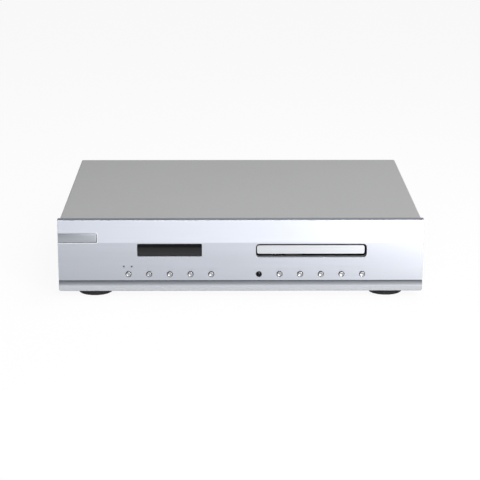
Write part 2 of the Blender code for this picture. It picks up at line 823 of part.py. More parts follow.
def panel_profile():
    """The panel seen from its end: a flat band, a leaning face, a groove and a lip."""
    profile = [(0, PANEL_HEIGHT - PANEL_TOP_CORNER), (0, FACE_BREAK_HEIGHT)]
    profile.append((FACE_LEAN, GROOVE_HEIGHT))
    for step in range(SHOULDER_STEPS + 1):
        angle = pi / 2 * step / SHOULDER_STEPS
        depth = SHOULDER_DEPTH * (1 - sin(angle))
        profile.append((depth, LIP_HEIGHT + (GROOVE_HEIGHT - LIP_HEIGHT) * cos(angle)))
    profile.append((0, PANEL_TOP_CORNER))
    profile.append((PANEL_TOP_CORNER, 0))
    profile.append((PANEL_THICKNESS, 0))
    profile.append((PANEL_THICKNESS, PANEL_HEIGHT))
    profile.append((PANEL_TOP_CORNER, PANEL_HEIGHT))
    return profile


def make_front_panel():
    half = PANEL_WIDTH / 2
    panel = place("front_panel", extruded("panel", [panel_profile()], -half, half, "X"),
                  BRUSHED, CASEWORK)
    outline = (arc(half - PANEL_CORNER, PANEL_CORNER, PANEL_CORNER, 3, 4, CORNER_STEPS)
               + [(half, PANEL_HEIGHT + OVERRUN), (-half, PANEL_HEIGHT + OVERRUN)]
               + arc(PANEL_CORNER - half, PANEL_CORNER, PANEL_CORNER, 2, 3, CORNER_STEPS))
    trim(panel, extruded("panel_outline", [outline], -OVERRUN, PANEL_THICKNESS + OVERRUN, "Y"))
    holes = [centred_rectangle(SLOT_X, SLOT_Z, SLOT_WIDTH, SLOT_HEIGHT, SLOT_CORNER),
             centred_rectangle(WINDOW_X, WINDOW_Z, WINDOW_WIDTH, WINDOW_HEIGHT, WINDOW_CORNER)]
    for across in button_places() + [RECEIVER_X]:
        holes.append(circle(across, BUTTON_Z, BUTTON_HOLE_RADIUS))
    for across in indicator_places():
        holes.append(circle(across, INDICATOR_Z, INDICATOR_HOLE_RADIUS, TINY_ROUND))
    cut(panel, extruded("panel_holes", holes, -OVERRUN, PANEL_THICKNESS + OVERRUN, "Y"))
    recess = rounded_rectangle(-half - OVERRUN, BADGE_LENGTH - half, FACE_BREAK_HEIGHT,
                               FACE_BREAK_HEIGHT + BADGE_HEIGHT, BADGE_CORNER)
    cut(panel, extruded("badge_recess", [recess], -OVERRUN, BADGE_THICKNESS, "Y"))
    studs = []
    for across in stud_places():
        studs.append(((across, PANEL_THICKNESS - BITE, STUD_Z), STUD_RADIUS, STUD_LENGTH + BITE))
    join(panel, rods_mesh("panel_studs", studs, "Y", TINY_ROUND))


def stud_places():
    left, right = button_places()[0], button_places()[-1]
    first_gap = left + BUTTON_PITCH / 2
    return [first_gap, RECEIVER_X - BUTTON_PITCH, right - BUTTON_PITCH / 2]


def make_badge_plate():
    left = -PANEL_WIDTH / 2 + SEAT_GAP
    outline = rounded_rectangle(left, left + BADGE_LENGTH - 2 * SEAT_GAP,
                                FACE_BREAK_HEIGHT + SEAT_GAP,
                                FACE_BREAK_HEIGHT + BADGE_HEIGHT - SEAT_GAP,
                                BADGE_CORNER - SEAT_GAP)
    mesh = extruded("badge", [outline], -BADGE_PROUD, BADGE_THICKNESS - SEAT_GAP, "Y")
    place("badge_plate", mesh, BRUSHED, CASEWORK)


def make_display():
    front = face_depth(WINDOW_Z) + WINDOW_RECESS
    flange_front = PANEL_THICKNESS + SEAT_GAP
    flange_back = flange_front + WINDOW_FLANGE_THICKNESS
    boss = centred_rectangle(WINDOW_X, WINDOW_Z, WINDOW_WIDTH - 2 * SEAT_GAP,
                             WINDOW_HEIGHT - 2 * SEAT_GAP, WINDOW_CORNER - SEAT_GAP)
    flange = centred_rectangle(WINDOW_X, WINDOW_Z, WINDOW_WIDTH + 2 * WINDOW_FLANGE,
                               WINDOW_HEIGHT + 2 * WINDOW_FLANGE)
    window = place("display_window", extruded("window", [boss], front, flange_front + BITE, "Y"),
                   DARK_GLASS, CASEWORK)
    join(window, extruded("window_flange", [flange], flange_front, flange_back, "Y"))
    width = WINDOW_WIDTH + 2 * TUBE_MARGIN
    height = WINDOW_HEIGHT + 2 * TUBE_MARGIN
    tube = centred_rectangle(WINDOW_X, WINDOW_Z, width, height, TUBE_EDGE)
    place("display_tube", extruded("tube", [tube], flange_back + SEAT_GAP,
                                   CONTROL_FRONT - SEAT_GAP, "Y"), DARK_GLASS, CASEWORK)


def button_mesh():
    """A domed button with a flange behind the panel; its height runs towards the front."""
    tip = -BUTTON_TIP
    shoulder = tip - DOME_HEIGHT
    flange_front = -PANEL_THICKNESS - SEAT_GAP
    flange_back = flange_front - BUTTON_FLANGE_THICKNESS
    flange_radius = BUTTON_HOLE_RADIUS + BUTTON_FLANGE
    stem_end = -CONTROL_FRONT + SWITCH_DEPTH + PLUNGER_LENGTH + BUTTON_TRAVEL + SEAT_GAP
    dome_radius = BUTTON_RADIUS - DOME_EDGE
    profile = [(0, tip)]
    for share in DOME_SHARES:
        profile.append((dome_radius * share, shoulder + DOME_HEIGHT * (1 - share * share)))
    profile += [(BUTTON_RADIUS, shoulder - DOME_EDGE), (BUTTON_RADIUS, flange_front),
                (flange_radius, flange_front), (flange_radius, flange_back),
                (BUTTON_STEM_RADIUS, flange_back), (BUTTON_STEM_RADIUS, stem_end),
                (0, stem_end)]
    return turned("button", profile, SMALL_ROUND, "-Y")


def make_buttons():
    mesh = button_mesh()
    for number, across in enumerate(button_places(), start=1):
        place(f"button_{number}", mesh.copy(), POLISHED, CASEWORK, (across, 0, BUTTON_Z))


def make_receiver():
    tip = RECEIVER_PROUD - face_depth(BUTTON_Z)
    shoulder = tip - DOME_HEIGHT
    flange_front = -PANEL_THICKNESS - SEAT_GAP
    flange_back = flange_front - BUTTON_FLANGE_THICKNESS
    flange_radius = BUTTON_HOLE_RADIUS + BUTTON_FLANGE
    profile = [(0, tip)]
    for share in DOME_SHARES:
        profile.append((BUTTON_RADIUS * share, shoulder + DOME_HEIGHT * (1 - share * share)))
    profile += [(BUTTON_RADIUS, flange_front), (flange_radius, flange_front),
                (flange_radius, flange_back), (0, flange_back)]
    place("receiver_lens", turned("receiver", profile, SMALL_ROUND, "-Y"), DARK_GLASS,
          CASEWORK, (RECEIVER_X, 0, BUTTON_Z))


def make_indicators():
    front = -face_depth(INDICATOR_Z)
    radius = INDICATOR_HOLE_RADIUS - SEAT_GAP
    flange_front = -PANEL_THICKNESS - SEAT_GAP
    flange_back = flange_front - BUTTON_FLANGE_THICKNESS
    flange_radius = INDICATOR_HOLE_RADIUS + INDICATOR_FLANGE
    profile = [(0, front), (radius, front), (radius, flange_front),
               (flange_radius, flange_front), (flange_radius, flange_back), (0, flange_back)]
    mesh = turned("indicator", profile, TINY_ROUND, "-Y")
    for name, across in zip(("indicator_left", "indicator_right"), indicator_places()):
        place(name, mesh.copy(), AMBER, CASEWORK, (across, 0, INDICATOR_Z))


def make_control_board():
    tower_left = WINDOW_X - WINDOW_WIDTH / 2 - TUBE_MARGIN
    tower_right = WINDOW_X + WINDOW_WIDTH / 2 + TUBE_MARGIN
    outline = [(CONTROL_LEFT_X, CONTROL_BOTTOM), (CONTROL_RIGHT_X, CONTROL_BOTTOM),
               (CONTROL_RIGHT_X, CONTROL_TOP), (tower_right, CONTROL_TOP),
               (tower_right, CONTROL_TOWER_TOP), (tower_left, CONTROL_TOWER_TOP),
               (tower_left, CONTROL_TOP), (CONTROL_LEFT_X, CONTROL_TOP)]
    board = place("control_board",
                  extruded("control", [outline], CONTROL_FRONT, CONTROL_BACK, "Y"),
                  BOARD_GREEN, CASEWORK)
    half = SWITCH_SIZE / 2
    switch_front = CONTROL_FRONT - SWITCH_DEPTH
    shape = bmesh.new()
    for across in button_places():
        add_box(shape, (across - half, switch_front, BUTTON_Z - half),
                (across + half, CONTROL_FRONT + BITE, BUTTON_Z + half))
    add_box(shape, (RECEIVER_X - half, switch_front, BUTTON_Z - half),
            (RECEIVER_X + half, CONTROL_FRONT + BITE, BUTTON_Z + half))
    for across in indicator_places():
        add_box(shape, (across - INDICATOR_HOLE_RADIUS, switch_front,
                        INDICATOR_Z - INDICATOR_HOLE_RADIUS),
                (across + INDICATOR_HOLE_RADIUS, CONTROL_FRONT + BITE,
                 INDICATOR_Z + INDICATOR_HOLE_RADIUS))
    join(board, mesh_of(shape, "switches"))
    plungers = []
    for across in button_places():
        plungers.append(((across, switch_front - PLUNGER_LENGTH, BUTTON_Z), PLUNGER_RADIUS,
                         PLUNGER_LENGTH + BITE))
    join(board, rods_mesh("plungers", plungers, "Y", HEX_SIDES))
    left = RIBBON_X - RIBBON_WIDTH / 2
    right = RIBBON_X + RIBBON_WIDTH / 2
    join(board, boxes_mesh("front_header", [
        ((left, CONTROL_BACK - BITE, CONTROL_BOTTOM),
         (right, CONTROL_BACK + HEADER_DEPTH, CONTROL_BOTTOM + HEADER_HEIGHT))]))


# Casing

def cover_outline():
    """The folded cover from the front, outside first and then back along its inside."""
    half = COVER_SIDE
    inner = half - COVER_SHEET
    inner_top = COVER_TOP - COVER_SHEET
    inner_bend = COVER_BEND - COVER_SHEET
    outside = ([(half, COVER_LIFT)]
               + arc(half - COVER_BEND, COVER_TOP - COVER_BEND, COVER_BEND, 0, 1, CORNER_STEPS)
               + arc(COVER_BEND - half, COVER_TOP - COVER_BEND, COVER_BEND, 1, 2, CORNER_STEPS)
               + [(-half, COVER_LIFT)])
    inside = ([(-inner, COVER_LIFT)]
              + arc(inner_bend - inner, inner_top - inner_bend, inner_bend, 2, 1, CORNER_STEPS)
              + arc(inner - inner_bend, inner_top - inner_bend, inner_bend, 1, 0, CORNER_STEPS)
              + [(inner, COVER_LIFT)])
    return outside + inside


def make_top_cover():
    place("top_cover", extruded("cover", [cover_outline()], CASE_FRONT, CASE_DEPTH, "Y"),
          PAINTED_GREY, CASEWORK)


def vent_outlines():
    outlines = []
    reach = VENT_LENGTH / 2 - VENT_WIDTH / 2
    for middle in (POWER_X, OUTPUTS_X):
        for row in range(VENT_ROWS):
            depth = BOARD_FRONT_Y + VENT_FRONT + VENT_PITCH * row
            outlines.append(stadium((middle - reach, depth), (middle + reach, depth),
                                    VENT_WIDTH / 2, 2))
    return outlines


def post_places(left, right):
    return [(across, depth) for across in (left + BOARD_MARGIN, right - BOARD_MARGIN)
            for depth in (BOARD_FRONT_Y + BOARD_MARGIN, BOARD_REAR_Y - BOARD_MARGIN)]


def loader_post_places():
    reach = FRAME_OUTER + EAR_REACH - EAR_WIDTH / 2
    return [(TRAY_X + side * reach, DISC_Y + depth) for side in (-1, 1)
            for depth in (EAR_FRONT_Y, EAR_REAR_Y)]


def make_chassis_base():
    half = INNER_HALF_WIDTH
    rear = REAR_FACE - REAR_SHEET - SEAT_GAP
    base = place("chassis_base",
                 boxes_mesh("base", [((-half, CASE_FRONT, COVER_LIFT),
                                      (half, rear, COVER_LIFT + BASE_FLANGE))]),
                 ZINC, CASEWORK)
    cut(base, boxes_mesh("base_inside", [
        ((-half + BASE_SHEET, CASE_FRONT + BASE_SHEET, BASE_TOP),
         (half - BASE_SHEET, rear - BASE_SHEET, COVER_LIFT + BASE_FLANGE + OVERRUN))]))
    cut(base, extruded("vents", vent_outlines(), COVER_LIFT - OVERRUN, BASE_TOP + OVERRUN, "Z"))
    posts = []
    for across, depth in (post_places(MAIN_LEFT_X, MAIN_RIGHT_X)
                          + post_places(POWER_LEFT_X, POWER_RIGHT_X)):
        posts.append(((across, depth, BASE_TOP - BITE), POST_RADIUS, BOARD_LIFT + BITE))
    for across, depth in loader_post_places():
        posts.append(((across, depth, BASE_TOP - BITE), POST_RADIUS,
                      FRAME_BOTTOM - SEAT_GAP - BASE_TOP + BITE))
    join(base, rods_mesh("posts", posts, "Z", HEX_SIDES))


def make_rear_panel():
    outline = rectangle(-INNER_HALF_WIDTH, INNER_HALF_WIDTH, COVER_LIFT,
                        COVER_TOP - COVER_SHEET - SEAT_GAP)
    holes = [circle(across, SOCKET_Z, BARREL_THREAD_RADIUS + SEAT_GAP)
             for across in (OUTPUT_RIGHT_X, OUTPUT_LEFT_X, DIGITAL_X)]
    play = 2 * SEAT_GAP
    holes.append(centred_rectangle(OPTICAL_X, SOCKET_Z, OPTICAL_SIZE + play,
                                   OPTICAL_SIZE + play))
    holes.append(centred_rectangle(INLET_X, INLET_Z, INLET_WIDTH + play, INLET_HEIGHT + play))
    holes.append(centred_rectangle(SWITCH_X, INLET_Z, ROCKER_BODY_WIDTH + play,
                                   ROCKER_BODY_HEIGHT + play))
    place("rear_panel", extruded("rear", [outline] + holes, REAR_FACE - REAR_SHEET, REAR_FACE,
                                 "Y"), ZINC, CASEWORK)


def make_feet():
    top = COVER_LIFT - SEAT_GAP
    neck = FOOT_RADIUS - FOOT_TAPER
    ring_outer = neck - FOOT_RING
    profile = [(0, top), (neck, top), (FOOT_RADIUS, top - FOOT_TAPER),
               (FOOT_RADIUS, FOOT_TAPER - FOOT_HEIGHT), (neck, -FOOT_HEIGHT),
               (ring_outer, -FOOT_HEIGHT), (ring_outer - FOOT_RING_DEPTH,
                                            FOOT_RING_DEPTH - FOOT_HEIGHT),
               (0, FOOT_RING_DEPTH - FOOT_HEIGHT)]
    mesh = turned("foot", profile, ROUND)
    for end, depth in (("front", FRONT_FOOT_Y), ("rear", REAR_FOOT_Y)):
        for side, across in (("left", -FOOT_X), ("right", FOOT_X)):
            place(f"foot_{end}_{side}", mesh.copy(), RUBBER, CASEWORK, (across, depth, 0))


# Disc tray and its drive

def make_disc_tray():
    half = TRAY_WIDTH / 2
    front = TRAY_FRONT_THICKNESS + SEAT_GAP - DISC_Y
    tray = place("disc_tray", boxes_mesh("tray", [((-half, front, TRAY_BOTTOM),
                                                   (half, TRAY_REAR, TRAY_TOP))]),
                 BLACK_PLASTIC, LOADER)
    well = [(0, TRAY_TOP + OVERRUN), (WELL_RADIUS, TRAY_TOP + OVERRUN),
            (WELL_RADIUS, WELL_LEDGE), (SMALL_WELL_RADIUS, WELL_LEDGE),
            (SMALL_WELL_RADIUS, WELL_FLOOR), (0, WELL_FLOOR)]
    cut(tray, turned("well", well, 2 * ROUND))
    slot = (arc(0, 0, HUB_SLOT_RADIUS, 2, 4, 2 * CORNER_STEPS)
            + [(HUB_SLOT_RADIUS, TRAY_REAR + OVERRUN), (-HUB_SLOT_RADIUS, TRAY_REAR + OVERRUN)])
    cut(tray, extruded("hub_slot", [slot], TRAY_BOTTOM - OVERRUN, TRAY_TOP + OVERRUN, "Z"))
    pocket_middle = (half + HUB_SLOT_RADIUS) / 2
    pocket_rear = TRAY_REAR - TRAY_WALL_THICKNESS
    pockets = []
    for side in (-1, 1):
        pockets.append(((side * pocket_middle - REAR_POCKET_WIDTH / 2,
                         pocket_rear - REAR_POCKET_LENGTH, WELL_FLOOR),
                        (side * pocket_middle + REAR_POCKET_WIDTH / 2, pocket_rear,
                         TRAY_TOP + OVERRUN)))
    cut(tray, boxes_mesh("rear_pockets", pockets))
    pocket_front = front + TRAY_WALL_THICKNESS
    cores = []
    for left, right in both_sides(half - CORNER_POCKET_INSET - CORNER_POCKET_WIDTH,
                                  half - CORNER_POCKET_INSET):
        cores.append(((left, pocket_front, TRAY_BOTTOM - OVERRUN),
                      (right, pocket_front + CORNER_POCKET_LENGTH,
                       TRAY_TOP - CORNER_POCKET_ROOF)))
    cut(tray, boxes_mesh("corner_pockets", cores))
    join(tray, boxes_mesh("tray_front_wall", [
        ((-half, front, TRAY_BOTTOM),
         (half, front + TRAY_WALL_THICKNESS, tray_front_bottom() + TRAY_FRONT_HEIGHT
          - TRAY_WALL_THICKNESS / 2))]))
    reach = TRAY_CHAMFER + OVERRUN
    wedges = []
    for side in (-1, 1):
        edge = side * (half + OVERRUN)
        wedges.append([(edge, TRAY_BOTTOM - OVERRUN), (edge, TRAY_BOTTOM + reach),
                       (side * (half - reach), TRAY_BOTTOM - OVERRUN)])
    cut(tray, extruded("tray_chamfers", wedges, front - OVERRUN, TRAY_REAR + OVERRUN, "Y"))
    back = RACK_X - DEDENDUM_SHARE * DRIVE_MODULE - RACK_BACK
    outline = rack_outline(RACK_FRONT, TRAY_REAR, TRAY_GEAR_Y, RACK_X, back, DRIVE_MODULE)
    join(tray, extruded("tray_rack", [outline], RACK_BOTTOM, TRAY_BOTTOM + BITE, "Z"))


def tray_front_bottom():
    return SLOT_BOTTOM + TRAY_FRONT_LIFT


def make_tray_front():
    half = TRAY_FRONT_WIDTH / 2
    bottom = tray_front_bottom()
    outline = rounded_rectangle(-half, half, bottom, bottom + TRAY_FRONT_HEIGHT,
                                TRAY_FRONT_CORNER)
    place("tray_front", extruded("tray_front", [outline], -DISC_Y,
                                 TRAY_FRONT_THICKNESS - DISC_Y, "Y"), BRUSHED, LOADER)


def make_tray_gear():
    """The gear that drives the rack, on a pin of the deck."""
    bore = circle(0, 0, DRIVE_PIN_RADIUS + SEAT_GAP)
    outline = gear_outline(TRAY_GEAR_TEETH, DRIVE_MODULE, pi, fine=True)
    place("tray_gear", extruded("tray_gear", [outline, bore], GEAR_TOP - TRAY_GEAR_HEIGHT,
                                GEAR_TOP, "Z"), WHITE_PLASTIC, LOADER,
          (TRAY_GEAR_X, TRAY_GEAR_Y, 0))


def pulley_profile(radius, bore, bottom):
    """A grooved pulley with a bore, listed down its outer side and up the bore."""
    groove = radius - PULLEY_GROOVE
    top = bottom + PULLEY_HEIGHT
    return [(radius, top), (radius, top - PULLEY_LIP), (groove, top - PULLEY_LIP),
            (groove, bottom + PULLEY_LIP), (radius, bottom + PULLEY_LIP), (radius, bottom),
            (bore, bottom), (bore, top)]


def pulley_bottom():
    return DECK_TOP + SEAT_GAP


def make_pulley_gear():
    bottom = pulley_bottom()
    bore_radius = DRIVE_PIN_RADIUS + SEAT_GAP
    mesh = turned("pulley", pulley_profile(PULLEY_RADIUS, bore_radius, bottom), ROUND,
                  closed=True)
    gear = place("pulley_gear", mesh, WHITE_PLASTIC, LOADER, (PULLEY_GEAR_X, TRAY_GEAR_Y, 0))
    outline = gear_outline(PULLEY_GEAR_TEETH, DRIVE_MODULE, pi / PULLEY_GEAR_TEETH)
    bore = circle(0, 0, bore_radius, ROUND)
    join(gear, extruded("pulley_teeth", [outline, bore], bottom + PULLEY_HEIGHT - BITE,
                        GEAR_TOP, "Z"))


def make_motor_pulley():
    """The small pulley and the motor shaft that it is pressed on."""
    bottom = pulley_bottom()
    groove = MOTOR_PULLEY_RADIUS - PULLEY_GROOVE
    top = bottom + PULLEY_HEIGHT
    profile = [(0, top), (MOTOR_PULLEY_RADIUS, top), (MOTOR_PULLEY_RADIUS, top - PULLEY_LIP),
               (groove, top - PULLEY_LIP), (groove, bottom + PULLEY_LIP),
               (MOTOR_PULLEY_RADIUS, bottom + PULLEY_LIP), (MOTOR_PULLEY_RADIUS, bottom),
               (MOTOR_SHAFT_RADIUS, bottom), (MOTOR_SHAFT_RADIUS, bottom - MOTOR_SHAFT_LENGTH),
               (0, bottom - MOTOR_SHAFT_LENGTH)]
    place("motor_pulley", turned("motor_pulley", profile, SMALL_ROUND), BLACK_PLASTIC, LOADER,
          (MOTOR_PULLEY_X, TRAY_GEAR_Y, 0))


def belt_outline(big_radius, small_radius, steps=10):
    """The loop round both pulleys, with its straight runs along their common tangents."""
    distance = MOTOR_PULLEY_X - PULLEY_GEAR_X
    lean = acos((big_radius - small_radius) / distance) / (pi / 2)
    return (arc(PULLEY_GEAR_X, TRAY_GEAR_Y, big_radius, lean, 4 - lean, 2 * steps)
            + arc(MOTOR_PULLEY_X, TRAY_GEAR_Y, small_radius, -lean, lean, steps))


def make_drive_belt():
    inner_big = PULLEY_RADIUS - PULLEY_GROOVE + SEAT_GAP
    inner_small = MOTOR_PULLEY_RADIUS - PULLEY_GROOVE + SEAT_GAP
    outer = belt_outline(inner_big + BELT_THICKNESS, inner_small + BELT_THICKNESS)
    inner = belt_outline(inner_big, inner_small)
    low = pulley_bottom() + PULLEY_LIP + SEAT_GAP
    high = pulley_bottom() + PULLEY_HEIGHT - PULLEY_LIP - SEAT_GAP
    place("drive_belt", extruded("belt", [outer, inner], low, high, "Z"), RUBBER, LOADER)


def motor_profile(radius, top, height, bore_depth):
    """A round motor can with bevelled edges, bored for its shaft."""
    bore = MOTOR_SHAFT_RADIUS + SEAT_GAP
    return [(0, top - bore_depth), (bore, top - bore_depth), (bore, top),
            (radius - MOTOR_EDGE, top), (radius, top - MOTOR_EDGE),
            (radius, top - height + MOTOR_EDGE), (radius - MOTOR_EDGE, top - height),
            (0, top - height)]


def make_loader_motor():
    top = DECK_TOP - DECK_THICKNESS - SEAT_GAP
    profile = motor_profile(LOADER_MOTOR_RADIUS, top, LOADER_MOTOR_HEIGHT,
                            MOTOR_SHAFT_LENGTH + SEAT_GAP)
    place("loader_motor", turned("loader_motor", profile, ROUND), STEEL, LOADER,
          (MOTOR_PULLEY_X, TRAY_GEAR_Y, 0))


# Loader frame and clamp

def both_sides(near, far):
    """The two spans, left and right, between a near and a far distance from the middle."""
    return [(-far, -near), (near, far)]


def wall_boxes():
    """The frame's walls with the ledges that the tray runs on."""
    ledge_top = TRAY_BOTTOM - SEAT_GAP
    boxes = []
    for left, right in both_sides(FRAME_INNER, FRAME_OUTER):
        boxes.append(((left, FRAME_FRONT, FRAME_BOTTOM), (right, FRAME_REAR, FRAME_TOP)))
    for left, right in both_sides(FRAME_INNER - FRAME_LEDGE, FRAME_INNER + BITE):
        boxes.append(((left, FRAME_FRONT, ledge_top - FRAME_LEDGE_THICKNESS),
                      (right, FRAME_REAR, ledge_top)))
    return boxes


def tab_boxes():
    """The tabs that hold the tray down and the ears that the frame is screwed down by."""
    tab_bottom = TRAY_TOP + SEAT_GAP
    boxes = []
    for left, right in both_sides(FRAME_INNER - TAB_REACH, FRAME_INNER + BITE):
        for tab in (TAB_FRONT_Y, TAB_REAR_Y):
            boxes.append(((left, tab, tab_bottom),
                          (right, tab + TAB_LENGTH, tab_bottom + TAB_THICKNESS)))
    for left, right in both_sides(FRAME_OUTER - BITE, FRAME_OUTER + EAR_REACH):
        for ear in (EAR_FRONT_Y, EAR_REAR_Y):
            boxes.append(((left, ear - EAR_WIDTH / 2, FRAME_BOTTOM),
                          (right, ear + EAR_WIDTH / 2, FRAME_BOTTOM + EAR_THICKNESS)))
    return boxes


def wall_window(number):
    """Where a lightening window of the walls starts and ends."""
    front = WALL_WINDOW_FRONT + WALL_WINDOW_PITCH * number
    return front, front + WALL_WINDOW_LENGTH


def rib_boxes():
    """The upright ribs outside the walls, between their windows."""
    boxes = []
    for number in range(WALL_WINDOWS - 1):
        middle = (wall_window(number)[1] + wall_window(number + 1)[0]) / 2
        for left, right in both_sides(FRAME_OUTER - BITE, FRAME_OUTER + WALL_RIB):
            boxes.append(((left, middle - WALL_RIB_WIDTH / 2, FRAME_BOTTOM + BITE),
                          (right, middle + WALL_RIB_WIDTH / 2, FRAME_TOP - WALL_RIB)))
    return boxes


def beam_boxes():
    """The front deck, the channel that the slider runs in, the rear beam and its lugs."""
    reach = FRAME_INNER + BITE
    channel_top = FRAME_BOTTOM + BEAM_HEIGHT
    lip_top = channel_top + BEAM_LIP_HEIGHT
    beam_rear = BEAM_FRONT + BEAM_WIDTH
    slider_rear = SLIDER_FRONT + SLIDER_THICKNESS
    rear_top = PIVOT_Z + LUG_HEIGHT / 2 - BITE
    lug_inner = TRAVERSE_HALF_WIDTH + 2 * SEAT_GAP
    boxes = [((-reach, FRAME_FRONT, DECK_TOP - DECK_THICKNESS), (reach, DECK_REAR, DECK_TOP)),
             ((-reach, BEAM_FRONT, FRAME_BOTTOM), (reach, beam_rear, channel_top)),
             ((-BEAM_LIP_REACH, BEAM_FRONT, channel_top - BITE),
              (BEAM_LIP_REACH, SLIDER_FRONT - SEAT_GAP, lip_top)),
             ((-BEAM_LIP_REACH, slider_rear + SEAT_GAP, channel_top - BITE),
              (BEAM_LIP_REACH, beam_rear, lip_top)),
             ((-reach, REAR_BEAM_Y, rear_top - REAR_BEAM_HEIGHT),
              (reach, REAR_BEAM_Y + REAR_BEAM_WIDTH, rear_top))]
    for left, right in both_sides(lug_inner, lug_inner + LUG_WIDTH):
        boxes.append(((left, PIVOT_Y - LUG_REACH / 2, PIVOT_Z - LUG_HEIGHT / 2),
                      (right, REAR_BEAM_Y + BITE, PIVOT_Z + LUG_HEIGHT / 2)))
    return boxes


def make_loader_frame():
    walls = wall_boxes()
    frame = place("loader_frame", boxes_mesh("frame_wall", walls[:1]), BLACK_PLASTIC, LOADER)
    for box in beam_boxes() + walls[1:] + tab_boxes() + rib_boxes():
        join(frame, boxes_mesh("frame_rib", [box]))
    window_bottom = FRAME_BOTTOM + WALL_WINDOW_LIFT
    windows = []
    for number in range(WALL_WINDOWS):
        front, rear = wall_window(number)
        windows.append(((-FRAME_OUTER - OVERRUN, front, window_bottom),
                        (FRAME_OUTER + OVERRUN, rear, window_bottom + WALL_WINDOW_HEIGHT)))
    cut(frame, boxes_mesh("wall_windows", windows))
    foot = DECK_TOP - BITE
    pins = [((across, TRAY_GEAR_Y, foot), DRIVE_PIN_RADIUS, GEAR_TOP - foot)
            for across in (TRAY_GEAR_X, PULLEY_GEAR_X)]
    join(frame, rods_mesh("drive_pins", pins))
    boss_height = GEAR_TOP - TRAY_GEAR_HEIGHT - SEAT_GAP - foot
    join(frame, rods_mesh("gear_boss", [((TRAY_GEAR_X, TRAY_GEAR_Y, foot), DRIVE_BOSS_RADIUS,
                                         boss_height)]))
    cut(frame, rods_mesh("shaft_hole", [
        ((MOTOR_PULLEY_X, TRAY_GEAR_Y, DECK_TOP - DECK_THICKNESS - OVERRUN),
         MOTOR_SHAFT_RADIUS * 2, DECK_THICKNESS + 2 * OVERRUN)]))
    reach = FRAME_INNER - FRAME_LEDGE
    cut(frame, rods_mesh("pivot_holes", [((-reach, PIVOT_Y, PIVOT_Z), PIVOT_RADIUS + SEAT_GAP,
                                          2 * reach)], "X"))


def make_clamp_bridge():
    outer = FRAME_OUTER
    top = BRIDGE_BOTTOM + BRIDGE_SHEET
    lip_bottom = BRIDGE_BOTTOM - BRIDGE_LIP
    inner = outer - BRIDGE_SHEET
    outline = [(-outer, lip_bottom), (-inner, lip_bottom), (-inner, BRIDGE_BOTTOM),
               (inner, BRIDGE_BOTTOM), (inner, lip_bottom), (outer, lip_bottom), (outer, top),
               (-outer, top)]
    half = BRIDGE_WIDTH / 2
    bridge = place("clamp_bridge", extruded("bridge", [outline], -half, half, "Y"), ZINC,
                   LOADER)
    cut(bridge, rods_mesh("puck_hole", [((0, 0, BRIDGE_BOTTOM - OVERRUN), BRIDGE_HOLE_RADIUS,
                                         BRIDGE_SHEET + 2 * OVERRUN)], "Z", ROUND))


def make_clamp_puck():
    body = BRIDGE_HOLE_RADIUS - 2 * SEAT_GAP
    flange = BRIDGE_HOLE_RADIUS + PUCK_FLANGE
    seat = BRIDGE_BOTTOM + BRIDGE_SHEET + SEAT_GAP
    bottom = PLATTER_TOP + PUCK_DROP
    recess = bottom + PUCK_RECESS_DEPTH
    profile = [(0, seat + PUCK_FLANGE_THICKNESS), (flange, seat + PUCK_FLANGE_THICKNESS),
               (flange, seat), (body, seat), (body, bottom), (PUCK_RECESS_RADIUS, bottom),
               (PUCK_RECESS_RADIUS, recess), (0, recess)]
    place("clamp_puck", turned("puck", profile, ROUND), BLACK_PLASTIC, LOADER)


def cam_drop():
    """How far the traverse's cam pins sink when it tilts all the way."""
    arm = PIVOT_Y - (SLIDER_FRONT + SLIDER_THICKNESS / 2)
    return arm * sin(radians(TILT_DEGREES))


def make_lift_slider():
    """The plate whose sloping slots lower the traverse as it slides to the right."""
    outline = rectangle(-SLIDER_HALF_WIDTH, SLIDER_HALF_WIDTH, SLIDER_BOTTOM,
                        SLIDER_BOTTOM + SLIDER_HEIGHT)
    slots = []
    for across in (-CAM_PIN_X, CAM_PIN_X):
        slots.append(stadium((across, PIVOT_Z), (across - SLIDER_TRAVEL, PIVOT_Z - cam_drop()),
                             CAM_PIN_RADIUS + CAM_PLAY))
    place("lift_slider", extruded("slider", [outline] + slots, SLIDER_FRONT,
                                  SLIDER_FRONT + SLIDER_THICKNESS, "Y"), WHITE_PLASTIC, LOADER)


# Traverse

